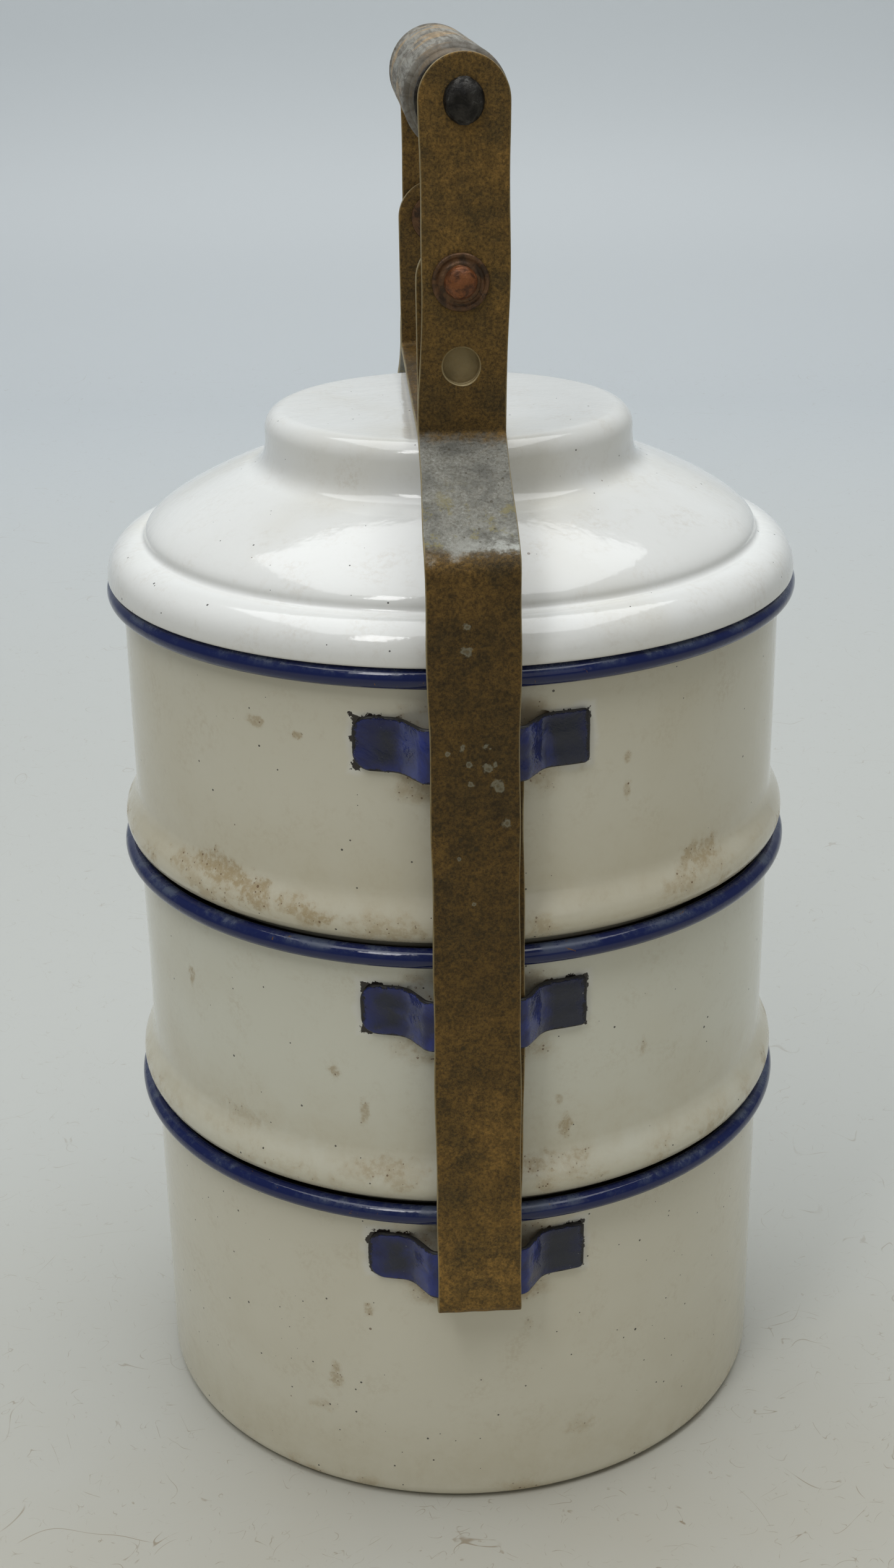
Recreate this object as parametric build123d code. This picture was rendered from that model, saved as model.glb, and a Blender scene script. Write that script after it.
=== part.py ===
from build123d import *
import math
import os

# Three-tier enamelled tiffin carrier in a brass carrying frame. Millimetres, +Z up.
# Origin: centre of the bottom bowl's base. The grip's axis lies along Y and the
# front strap stands at -Y. Distances called "out" are measured from the Z axis
# towards a strap, so the front strap mirrors the back one.

# --- driving dimensions -------------------------------------------------------
RIM_R = 84.0                       # outside of the rolled rims
RIM_Z = (84.5, 151.7, 217.5)       # bead centres of the bottom, middle and top bowls
BEAD_R = 2.3                       # radius of the rolled bead
WALL_R = 80.2                      # outside of a bowl's wall
SHEET = 0.9                        # enamelled sheet
BASE_CORNER = 3.5                  # round between the bottom bowl's base and wall

FOOT_R = 83.2                      # widest part of a stacking foot
FOOT_ROUND = 5.0                   # quarter round under the foot
FOOT_TAPER = 8.5                   # height over which the foot runs back to the wall
STACK_GAP = 0.3                    # between a foot and the bead it sits on
SPIGOT_R = 78.0                    # the bottom that drops inside the rim below
SPIGOT_DEPTH = 2.5
SPIGOT_CORNER = 2.0

KNOB_Z = 259.2                     # flat top of the lid
KNOB_R = 44.1
KNOB_ROUND = 4.7
DOME_START = (49.2, 245.3)         # (radius, height) where the knob meets the dome
DOME_END = (73.9, 231.0)
VALLEY = (75.4, 229.5)
VALLEY_ROUND = 1.5
FLANGE_R = 83.5
HEM_Z = 220.15                     # underside of the turned-in hem
HEM_ROUND = 0.65
SKIRT_R = 78.2
SKIRT_Z = 216.9

STRAP_T = 1.6                      # brass strip
STRAP_OUT = 89.6                   # outer face of a strap's leg
UPPER_OUT = 56.0                   # outer face of a strap beside the grip
SHOULDER_Z = (263.6, 244.6)        # the two bends over the lid
BEND_R = (2.0, 5.0)
FOLD_GAP = 2.0                     # between a leg and its inner prong
STRAP_BOTTOM = 61.8
PRONG_TOP = 200.0
HALF_WIDTH = {"upper": 9.35, "shoulder": 10.0, "leg": 9.5, "fold": 9.8}

GRIP_Z = 332.0
STRAP_END_R = 9.5                  # round top of a strap, about the grip's rod
PIVOT_Z = 296.0
LOCK_Z = 278.4
LOCK_R = 3.95

YOKE_T = 1.5
YOKE_GAP = 0.3                     # between a yoke leg and its strap
YOKE_HALF = 9.35
BRIDGE_Z = 262.0                   # underside of the yoke's bridge
YOKE_BEND = 2.25

LUG_T = 1.2
LUG_HEIGHT = 12.6
LUG_DROP = (12.6, 14.0, 15.4)      # lug centre below its bowl's bead centre
LUG_FLAT = 10.6                    # half width of the part behind the strap
LUG_ROOT = 14.8                    # where the slope reaches the wall
LUG_END = 25.8

RIVET_R = 2.5
RIVET_HEAD_R = 3.45
RIVET_HEAD_H = 2.2
WASHER_R = 6.05
WASHER_T = 1.0
ROD_R = 3.0
ROD_HEAD = (3.95, 5.0, 2.6)        # half width, half height, length outward
GRIP_R = 11.0
GRIP_END = 52.5                    # half length of the wooden roller
GRIP_BORE = 3.08
COLLAR_R = 9.0

LEVELS = ("bottom", "middle", "top")
LONG = 200.0                       # reach of a cutting solid


# --- helpers ------------------------------------------------------------------
def turned(edges):
    """Revolve a closed outline of (radius, height) edges about Z."""
    outline = make_face(edges)
    return revolve(Plane.XZ * outline, Axis.Z, 360)


def path_of(points):
    """Return the straight edges through a list of points."""
    return [Line(a, b) for a, b in zip(points, points[1:])]


def round_to(centre, radius, start, end):
    """Return an arc about centre between two angles in degrees."""
    return CenterArc(centre, radius, start, end - start)


def across(radius, out_a, out_b, z):
    """Return a cylinder along Y from out_a to out_b on the front side."""
    length = abs(out_b - out_a)
    middle = -(out_a + out_b) / 2
    return Pos(0, middle, z) * Rot(90, 0, 0) * Cylinder(radius, length)


def both_sides(front):
    """Return the front solid and its copy half a turn about Z."""
    return [front, Rot(0, 0, 180) * front]


def strip(points, radii, thickness, half):
    """Bend a strip along a path of (y, z) points and extrude it across X."""
    centre = FilletPolyline(*points, radius=radii)
    outline = make_face(offset(centre, thickness / 2, side=Side.BOTH, closed=True).edges())
    return extrude(Plane.YZ * outline, half, both=True)


def slab(outline):
    """Extrude a face drawn in X and Z through the whole depth."""
    return extrude(Plane.XZ * outline, LONG, both=True)


# --- bowls --------------------------------------------------------------------
def straight_bowl_edges(inset, top):
    """Outline of the bottom bowl, moved inward by inset."""
    wall = WALL_R - inset
    heel = WALL_R - BASE_CORNER
    return [
        Line((0, inset), (heel, inset)),
        round_to((heel, BASE_CORNER), BASE_CORNER - inset, -90, 0),
        Line((wall, BASE_CORNER), (wall, top)),
        Line((wall, top), (0, top)),
        Line((0, top), (0, inset)),
    ]


def footed_bowl_edges(foot_z, inset, top):
    """Outline of a stacking bowl whose foot rests at foot_z, moved inward by inset."""
    wall = WALL_R - inset
    floor = foot_z - SPIGOT_DEPTH + inset
    heel = (SPIGOT_R - SPIGOT_CORNER, foot_z - SPIGOT_DEPTH + SPIGOT_CORNER)
    bulge = (FOOT_R - FOOT_ROUND, foot_z + FOOT_ROUND)
    side = SPIGOT_R - inset
    waist_z = bulge[1] + FOOT_TAPER
    return [
        Line((0, floor), (heel[0], floor)),
        round_to(heel, SPIGOT_CORNER - inset, -90, 0),
        Line((side, heel[1]), (side, foot_z + inset)),
        Line((side, foot_z + inset), (bulge[0], foot_z + inset)),
        round_to(bulge, FOOT_ROUND - inset, -90, 0),
        Spline((FOOT_R - inset, bulge[1]), (wall, waist_z), tangents=[(0, 1), (0, 1)]),
        Line((wall, waist_z), (wall, top)),
        Line((wall, top), (0, top)),
        Line((0, top), (0, floor)),
    ]


def bowl(level):
    """One bowl: a sheet shell with a rolled bead at its rim."""
    rim_z = RIM_Z[level]
    above = rim_z + 2 * BEAD_R
    if level == 0:
        outer = turned(straight_bowl_edges(0, rim_z))
        inner = turned(straight_bowl_edges(SHEET, above))
    else:
        foot_z = RIM_Z[level - 1] + BEAD_R + STACK_GAP
        outer = turned(footed_bowl_edges(foot_z, 0, rim_z))
        inner = turned(footed_bowl_edges(foot_z, SHEET, above))
    bead = Pos(0, 0, rim_z) * Torus(RIM_R - BEAD_R, BEAD_R)
    return outer - inner + bead


def lug(level):
    """A strip lug on the front of a bowl, standing off its wall."""
    inner_out = STRAP_OUT - STRAP_T - FOLD_GAP / 2 - LUG_T / 2
    root_y = -math.sqrt(WALL_R**2 - LUG_ROOT**2)
    hollow = make_face(
        path_of([(-LUG_ROOT, root_y), (-LUG_FLAT, -inner_out), (LUG_FLAT, -inner_out),
                 (LUG_ROOT, root_y), (0, 0), (-LUG_ROOT, root_y)])
    )
    sheet = offset(hollow, LUG_T, kind=Kind.ARC)
    band = Circle(WALL_R + LUG_T)
    front = Pos(0, -WALL_R) * Rectangle(2 * LUG_END, WALL_R)
    behind = Rectangle(2 * LUG_ROOT, 3 * WALL_R)
    pads = (band & front) - behind
    beyond = Pos(0, -WALL_R) * Rectangle(2 * LUG_END, WALL_R)
    outline = (pads + (sheet & beyond)) - hollow - Circle(WALL_R)
    z = RIM_Z[level] - LUG_DROP[level]
    return Pos(0, 0, z - LUG_HEIGHT / 2) * extrude(outline, LUG_HEIGHT)


# --- lid ----------------------------------------------------------------------
def lid_top_edges(inset):
    """The lid's upper surface from the axis to the hem, moved inward by inset."""
    knob_side = KNOB_R - inset
    knob_arc = (KNOB_R - KNOB_ROUND, KNOB_Z - KNOB_ROUND)
    dome_start = (DOME_START[0] - 0.3 * inset, DOME_START[1] - inset)
    dome_end = (DOME_END[0] - inset, DOME_END[1])
    valley_low = (VALLEY[0], VALLEY[1] - inset)
    edge = FLANGE_R - inset
    hem_top = HEM_Z + max(HEM_ROUND, inset)
    dome_rise = dome_start[1] - dome_end[1]
    return [
        Line((0, KNOB_Z - inset), (knob_arc[0], KNOB_Z - inset)),
        round_to(knob_arc, KNOB_ROUND - inset, 90, 0),
        Spline((knob_side, knob_arc[1]), dome_start, tangents=[(0, -1), (1, -0.25)]),
        Bezier(dome_start, (dome_start[0] + 5, dome_start[1] - 1.3),
               (dome_end[0], dome_end[1] + 0.3 * dome_rise), dome_end),
        Spline(dome_end, valley_low, tangents=[(0, -1), (1, 0)]),
        Bezier(valley_low, (valley_low[0] + 3, valley_low[1]), (edge, VALLEY[1] - 2), (edge, hem_top)),
    ]


def lid():
    """The lid: knob, dome, rounded flange, turned-in hem and skirt."""
    hem_in = FLANGE_R - HEM_ROUND
    under = [
        round_to((hem_in, HEM_Z + HEM_ROUND), HEM_ROUND, 0, -90),
        *path_of([(hem_in, HEM_Z), (SKIRT_R, HEM_Z), (SKIRT_R, SKIRT_Z), (SKIRT_R - SHEET, SKIRT_Z),
                  (SKIRT_R - SHEET, HEM_Z + SHEET), (FLANGE_R - SHEET, HEM_Z + SHEET)]),
    ]
    axis_edge = [Line((0, KNOB_Z - SHEET), (0, KNOB_Z))]
    return turned(lid_top_edges(0) + under + lid_top_edges(SHEET) + axis_edge)


# --- carrying frame -----------------------------------------------------------
def strap_outline():
    """Front view of a strap: round top, slightly wider shoulder and fold."""
    right = [
        (HALF_WIDTH["upper"], PIVOT_Z),
        (HALF_WIDTH["upper"], SHOULDER_Z[0]),
        (HALF_WIDTH["shoulder"], SHOULDER_Z[1]),
        (HALF_WIDTH["shoulder"], RIM_Z[2] + 10),
        (HALF_WIDTH["leg"], RIM_Z[2] - 10),
        (HALF_WIDTH["fold"], STRAP_BOTTOM - 1),
    ]
    left = [(-x, z) for x, z in reversed(right)]
    body = make_face(path_of(right + left + right[:1]))
    upper = Pos(0, (GRIP_Z + PIVOT_Z) / 2) * Rectangle(2 * HALF_WIDTH["upper"], GRIP_Z - PIVOT_Z)
    return body + upper + Pos(0, GRIP_Z) * Circle(STRAP_END_R)


def front_strap():
    """A strap with its shoulder, leg, bottom fold and inner prong."""
    half_t = STRAP_T / 2
    leg = -(STRAP_OUT - half_t)
    prong = leg + FOLD_GAP + STRAP_T
    upper = -(UPPER_OUT - half_t)
    fold_r = (FOLD_GAP + STRAP_T) / 2
    fold_z = STRAP_BOTTOM + half_t
    runs = [(upper, GRIP_Z + STRAP_END_R + 1), (upper, SHOULDER_Z[0]), (leg, SHOULDER_Z[1]),
            (leg, fold_z), (prong, fold_z), (prong, PRONG_TOP)]
    corner = fold_r - 0.01
    bent = strip(runs, [*BEND_R, corner, corner], STRAP_T, 2 * STRAP_END_R)
    solid = bent & slab(strap_outline())
    for radius, z in ((ROD_R + 0.05, GRIP_Z), (RIVET_R + 0.05, PIVOT_Z), (LOCK_R, LOCK_Z)):
        solid -= across(radius, UPPER_OUT + 5, UPPER_OUT - 5, z)
    return solid


def yoke():
    """The U-shaped yoke that holds the lid down."""
    leg = UPPER_OUT - STRAP_T - YOKE_GAP - YOKE_T / 2
    low = BRIDGE_Z + YOKE_T / 2
    high = PIVOT_Z + 2 * YOKE_HALF
    runs = [(-leg, high), (-leg, low), (leg, low), (leg, high)]
    bent = strip(runs, [YOKE_BEND, YOKE_BEND], YOKE_T, YOKE_HALF)
    body = Pos(0, (PIVOT_Z + BRIDGE_Z) / 2 - 1) * Rectangle(2 * YOKE_HALF, PIVOT_Z - BRIDGE_Z + 2)
    solid = bent & slab(body + Pos(0, PIVOT_Z) * Circle(YOKE_HALF))
    solid -= across(RIVET_R + 0.06, UPPER_OUT, -UPPER_OUT, PIVOT_Z)
    solid -= across(LOCK_R, UPPER_OUT, -UPPER_OUT, LOCK_Z)
    return solid


def dome_head(radius, height, out, z, outward=True):
    """A low domed rivet head standing on a face at distance out."""
    ball_r = (radius**2 + height**2) / (2 * height)
    ball = Sphere(ball_r)
    cap = Pos(0, 0, height - ball_r) * ball & Pos(0, 0, height / 2) * Cylinder(radius, height)
    turn = 90 if outward else -90
    return Pos(0, -out, z) * Rot(turn, 0, 0) * cap


def pivot_parts():
    """Return the two pivot rivets and their four washers."""
    washer_out = UPPER_OUT + WASHER_T
    yoke_in = UPPER_OUT - STRAP_T - YOKE_GAP - YOKE_T
    inner_out = yoke_in - YOKE_GAP / 2
    inner_in = inner_out - WASHER_T
    shank = across(RIVET_R, washer_out, inner_in, PIVOT_Z)
    rivet = shank + dome_head(RIVET_HEAD_R, RIVET_HEAD_H, washer_out, PIVOT_Z)
    rivet += dome_head(RIVET_HEAD_R, RIVET_HEAD_H - 0.4, inner_in, PIVOT_Z, outward=False)
    hole = across(RIVET_R, UPPER_OUT + 5, UPPER_OUT - 8, PIVOT_Z)
    outer = across(WASHER_R, UPPER_OUT, washer_out, PIVOT_Z) - hole
    inner = across(WASHER_R, inner_out, inner_in, PIVOT_Z) - hole
    return both_sides(rivet), both_sides(outer) + both_sides(inner)


def grip_rod():
    """The steel rod with its two hammered oval heads."""
    half_w, half_h, length = ROD_HEAD
    head = scale(Sphere(1), (half_w, length, half_h))
    keep = Pos(0, -length / 2, 0) * Box(4 * half_w, length, 4 * half_h)
    front = Pos(0, -UPPER_OUT, GRIP_Z) * (head & keep)
    return across(ROD_R, UPPER_OUT, -UPPER_OUT, GRIP_Z) + both_sides(front)


def grip_collars():
    """The two flat collars between the grip's ends and the straps."""
    inner_face = UPPER_OUT - STRAP_T
    collar = across(COLLAR_R, inner_face, GRIP_END + 0.3, GRIP_Z)
    return both_sides(collar - across(ROD_R, UPPER_OUT, GRIP_END - 1, GRIP_Z))


def grip():
    """The turned wooden roller with a bead and two grooves near each end."""
    bead_at, bead_r, groove = GRIP_END - 4.2, 2.4, 9.9
    neck = bead_at - 3.4
    half = [
        Line((GRIP_BORE, 0), (GRIP_BORE, GRIP_END)),
        Line((GRIP_BORE, GRIP_END), (groove - 1.2, GRIP_END)),
        Spline((groove - 1.2, GRIP_END), (groove, bead_at + bead_r), tangents=[(1, 0), (0.3, -1)]),
        ThreePointArc((groove, bead_at + bead_r), (GRIP_R + 0.3, bead_at), (groove, bead_at - bead_r)),
        Line((groove, bead_at - bead_r), (groove, neck)),
        Spline((groove, neck), (GRIP_R, neck - 6), (GRIP_R, 0), tangents=[(1, -0.6), (0, -1)]),
        Line((GRIP_R, 0), (GRIP_BORE, 0)),
    ]
    upper = turned(half)
    roller = upper + mirror(upper, Plane.XY)
    return Pos(0, 0, GRIP_Z) * Rot(90, 0, 0) * roller


# --- parts --------------------------------------------------------------------
def write(name, solids):
    """Write one node, given as a solid or a list of solids."""
    shape = Compound(children=list(solids)) if isinstance(solids, list) else solids
    export_step(shape, f"parts/{name}.step")


os.makedirs("parts", exist_ok=True)

for level, name in enumerate(LEVELS):
    write(f"{name}_bowl", bowl(level))
    front = lug(level)
    write(f"{name}_front_lug", front)
    write(f"{name}_back_lug", Rot(0, 0, 180) * front)

write("lid", lid())

strap = front_strap()
write("front_strap", strap)
write("back_strap", Rot(0, 0, 180) * strap)
write("yoke", yoke())

rivets, washers = pivot_parts()
write("pivot_rivets", rivets)
write("pivot_washers", washers)
write("grip_rod", grip_rod())
write("grip_collars", grip_collars())
write("grip", grip())
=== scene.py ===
"""Three-tier enamelled tiffin carrier in a brass carrying frame.

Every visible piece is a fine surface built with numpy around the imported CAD
frame, rides on the CAD body it belongs to and stands for one CAD node. Lengths
are in metres and +Z is up. The front strap stands at -Y, and "out" means the
distance from the Z axis towards a strap.
"""

import logging
import math
from dataclasses import dataclass, field
from enum import Enum
from functools import reduce
from typing import Callable, Iterable, Optional, Sequence

import bmesh
import bpy
import numpy as np
from mathutils import Matrix, Vector


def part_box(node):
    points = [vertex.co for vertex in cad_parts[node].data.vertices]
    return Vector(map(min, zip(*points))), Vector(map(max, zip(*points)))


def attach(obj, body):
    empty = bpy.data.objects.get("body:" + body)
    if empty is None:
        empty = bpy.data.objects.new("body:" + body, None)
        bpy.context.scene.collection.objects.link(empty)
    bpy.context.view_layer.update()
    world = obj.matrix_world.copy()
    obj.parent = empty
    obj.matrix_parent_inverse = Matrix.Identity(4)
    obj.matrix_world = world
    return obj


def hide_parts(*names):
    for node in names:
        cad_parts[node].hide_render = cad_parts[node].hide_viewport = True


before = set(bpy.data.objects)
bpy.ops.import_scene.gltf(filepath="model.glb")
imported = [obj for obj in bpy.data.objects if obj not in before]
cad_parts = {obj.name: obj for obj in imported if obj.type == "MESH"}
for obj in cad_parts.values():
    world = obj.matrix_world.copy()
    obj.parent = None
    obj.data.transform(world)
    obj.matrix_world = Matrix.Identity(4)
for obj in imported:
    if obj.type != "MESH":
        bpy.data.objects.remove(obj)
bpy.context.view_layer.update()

LOG = logging.getLogger("tiffin")
TAU = 2.0 * math.pi
CREASE = 40.0  # degrees: edges sharper than this stay sharp

Socket = bpy.types.NodeSocket
Colour = tuple[float, float, float]


class Side(Enum):
    """The side of the carrier that a strap or lug stands on."""

    FRONT = 0.0
    BACK = math.pi


# --- curves and surfaces --------------------------------------------------------


def arc(centre: Sequence[float], radius: float, start: float, end: float, count: int) -> np.ndarray:
    """Sample a circular arc.

    Args:
        centre: the arc's centre.
        radius: its radius.
        start: first angle in degrees.
        end: last angle in degrees.
        count: number of points.

    Returns:
        Points of shape (count, 2): centre plus radius times (cos, sin) of evenly spaced angles.
    """
    angle = np.radians(np.linspace(start, end, count))
    return np.stack([centre[0] + radius * np.cos(angle), centre[1] + radius * np.sin(angle)], 1)


def line(start: Sequence[float], end: Sequence[float], count: int) -> np.ndarray:
    """Sample a straight run from start to end, both ends included."""
    return np.linspace(np.asarray(start, float), np.asarray(end, float), count)


def bezier(points: Sequence[Sequence[float]], count: int) -> np.ndarray:
    """Sample a cubic Bezier curve.

    Args:
        points: its first point, two handles and last point.
        count: number of points.

    Returns:
        Points of shape (count, n): the four points weighted by the cubic Bernstein terms.
    """
    a, b, c, d = (np.asarray(p, float) for p in points)
    t = np.linspace(0.0, 1.0, count)[:, None]
    return (1 - t) ** 3 * a + 3 * (1 - t) ** 2 * t * b + 3 * (1 - t) * t**2 * c + t**3 * d


def join(runs: Iterable[np.ndarray]) -> np.ndarray:
    """Join runs of points end to end.

    Args:
        runs: the runs, in order.

    Returns:
        All their points but those that repeat the one before.
    """
    points = np.concatenate(list(runs))
    step = np.linalg.norm(np.diff(points, axis=0), axis=1)
    return points[np.concatenate([[True], step > 1e-6])]


def bent_path(corners: Sequence[Sequence[float]], radii: Sequence[float], step: float) -> np.ndarray:
    """Round the corners of a polyline and sample it evenly.

    Each corner is cut back along both runs by radius times the tangent of half
    the turn and joined by the tangent arc.

    Args:
        corners: the polyline's points.
        radii: one radius for each inner corner.
        step: spacing of the samples along the path.

    Returns:
        Points of shape (n, 2), evenly spaced along the path.
    """
    points = np.asarray(corners, float)
    runs = [points[:1]]
    for before, at, after, radius in zip(points, points[1:], points[2:], radii):
        inward = (before - at) / np.linalg.norm(before - at)
        outward = (after - at) / np.linalg.norm(after - at)
        half_turn = (math.pi - math.acos(float(np.clip(inward @ outward, -1, 1)))) / 2
        cut = radius * math.tan(half_turn)
        middle = (inward + outward) / np.linalg.norm(inward + outward)
        centre = at + middle * radius / math.cos(half_turn)
        first, last = at + inward * cut - centre, at + outward * cut - centre
        start = math.atan2(first[1], first[0])
        turn = (math.atan2(last[1], last[0]) - start + math.pi) % TAU - math.pi
        runs.append(arc(centre, radius, math.degrees(start), math.degrees(start + turn), 14))
    rough = join([*runs, points[-1:]])
    length = np.concatenate([[0], np.cumsum(np.linalg.norm(np.diff(rough, axis=0), axis=1))])
    even = np.linspace(0, length[-1], int(length[-1] / step) + 1)
    return np.stack([np.interp(even, length, rough[:, k]) for k in range(2)], 1)


def ripple(u: np.ndarray, v: np.ndarray, seed: int, waves: int = 7) -> np.ndarray:
    """Work out a smooth unevenness.

    Args:
        u: first parameter, in radians where it closes on itself.
        v: second parameter.
        seed: seed of the waves' phases.
        waves: number of waves.

    Returns:
        The sum of a few sine waves over u and v, with whole wave numbers that grow
        along u and fall along v, and heights that fall as the number grows: about -1 to 1.
    """
    draw = np.random.default_rng(seed)
    total = np.zeros(np.broadcast(u, v).shape)
    for wave in range(1, waves + 1):
        phase_u, phase_v = draw.uniform(0, TAU, 2)
        total += np.sin(wave * u + phase_u) * np.cos((waves - wave + 1) * v + phase_v) / wave
    return total / 1.6


def turned(profile: np.ndarray, segments: int, uneven: Optional[Callable] = None) -> np.ndarray:
    """Turn a profile about the Z axis.

    Args:
        profile: (radius, height) points.
        segments: steps round the axis.
        uneven: optional function of (angle, profile index share) that gives a change of radius.

    Returns:
        A grid of points, profile by segments: (r cos a, r sin a, z).
    """
    angle = np.linspace(0, TAU, segments, endpoint=False)[None, :]
    radius, height = profile[:, 0, None], profile[:, 1, None]
    if uneven is not None:
        share = np.linspace(0, 1, len(profile))[:, None]
        radius = np.where(radius > 1e-6, radius + uneven(angle, share), radius)
    angle = np.broadcast_to(angle, (len(profile), segments))
    return np.stack([radius * np.cos(angle), radius * np.sin(angle), height + 0 * angle], -1)


def grid_object(name: str, grid: np.ndarray, close_rows: bool, close_columns: bool,
                uv: Optional[np.ndarray] = None, crease: float = CREASE) -> bpy.types.Object:
    """Make a mesh object from a grid of points.

    Args:
        name: the piece's name.
        grid: points of shape (rows, columns, 3).
        close_rows: join the last row to the first.
        close_columns: join the last column to the first.
        uv: optional (rows + 1, columns + 1, 2) map, one past the end where a direction closes.
        crease: faces that meet at more than this many degrees keep a sharp edge.

    Returns:
        The linked object, with merged poles and seams and its normals outwards.
    """
    rows, columns = grid.shape[:2]
    row = np.arange(rows if close_rows else rows - 1)[:, None]
    column = np.arange(columns if close_columns else columns - 1)[None, :]
    next_row, next_column = (row + 1) % rows, (column + 1) % columns
    quads = np.stack([row * columns + column, row * columns + next_column,
                      next_row * columns + next_column, next_row * columns + column], -1).reshape(-1, 4)
    mesh = bpy.data.meshes.new(name)
    mesh.vertices.add(rows * columns)
    mesh.vertices.foreach_set("co", grid.astype(np.float32).ravel())
    mesh.loops.add(quads.size)
    mesh.loops.foreach_set("vertex_index", quads.astype(np.int32).ravel())
    mesh.polygons.add(len(quads))
    mesh.polygons.foreach_set("loop_start", np.arange(0, quads.size, 4, dtype=np.int32))
    if uv is not None:
        shift = ((0, 0), (0, 1), (1, 1), (1, 0))
        corners = np.stack([uv[row + i, column + j] for i, j in shift], 2)
        layer = mesh.uv_layers.new(name="strip")
        layer.data.foreach_set("uv", corners.astype(np.float32).ravel())
    mesh.update(calc_edges=True)
    mesh.validate()
    tidy_mesh(mesh, crease)
    piece = bpy.data.objects.new(name, mesh)
    bpy.context.collection.objects.link(piece)
    return piece


def tidy_mesh(mesh: bpy.types.Mesh, crease: float) -> None:
    """Merge doubles, drop collapsed faces, point normals outwards and shade smooth with creases.

    Args:
        mesh: the mesh, changed in place.
        crease: faces that meet at more than this many degrees keep a sharp edge.
    """
    work = bmesh.new()
    work.from_mesh(mesh)
    bmesh.ops.remove_doubles(work, verts=work.verts, dist=1e-6)
    bmesh.ops.dissolve_degenerate(work, edges=work.edges, dist=1e-7)
    bmesh.ops.recalc_face_normals(work, faces=work.faces)
    work.to_mesh(mesh)
    work.free()
    mesh.shade_smooth()
    mesh.set_sharp_from_angle(angle=math.radians(crease))


def moved(grid: np.ndarray, matrix: Matrix) -> np.ndarray:
    """Apply a 4 by 4 matrix to a grid of points."""
    m = np.array(matrix)
    return grid @ m[:3, :3].T + m[:3, 3]


def side_turn(side: Side) -> Matrix:
    """Return the half turn about Z that takes the front to a side."""
    return Matrix.Rotation(side.value, 4, "Z")


def cut(piece: bpy.types.Object, cutters: Sequence[bpy.types.Object]) -> None:
    """Cut solids out of a piece, apply the result to its mesh and remove the cutters.

    Args:
        piece: the piece, changed in place.
        cutters: closed solids.
    """
    for cutter in cutters:
        knife = piece.modifiers.new("hole", "BOOLEAN")
        knife.operation = "DIFFERENCE"
        knife.solver = "EXACT"
        knife.object = cutter
    graph = bpy.context.evaluated_depsgraph_get()
    mesh = bpy.data.meshes.new_from_object(piece.evaluated_get(graph))
    piece.modifiers.clear()
    old = piece.data
    piece.data = mesh
    bpy.data.meshes.remove(old)
    for cutter in cutters:
        bpy.data.objects.remove(cutter)
    mesh.shade_smooth()
    mesh.set_sharp_from_angle(angle=math.radians(CREASE))


def hole_cutter(radius: float, out: float, z: float, thickness: float, side: Side) -> bpy.types.Object:
    """Make a cutter for a round hole through a strip, flared a little at both faces.

    Args:
        radius: the hole's radius.
        out: the strip's middle, from the Z axis.
        z: the hole's height.
        thickness: the strip's thickness.
        side: the side the strip stands on.

    Returns:
        A turned solid, laid along Y at the hole.
    """
    half, flare = thickness / 2, 0.00025
    profile = np.array([(0, -3 * half), (radius + flare + 2 * half, -3 * half), (radius + flare, -half),
                        (radius, -half + flare), (radius, half - flare), (radius + flare, half),
                        (radius + flare + 2 * half, 3 * half), (0, 3 * half)])
    turn = side_turn(side) @ Matrix.Translation((0, -out, z)) @ Matrix.Rotation(math.pi / 2, 4, "X")
    return grid_object("cutter", moved(turned(profile, 48), turn), False, True)


# --- shader graphs --------------------------------------------------------------


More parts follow.
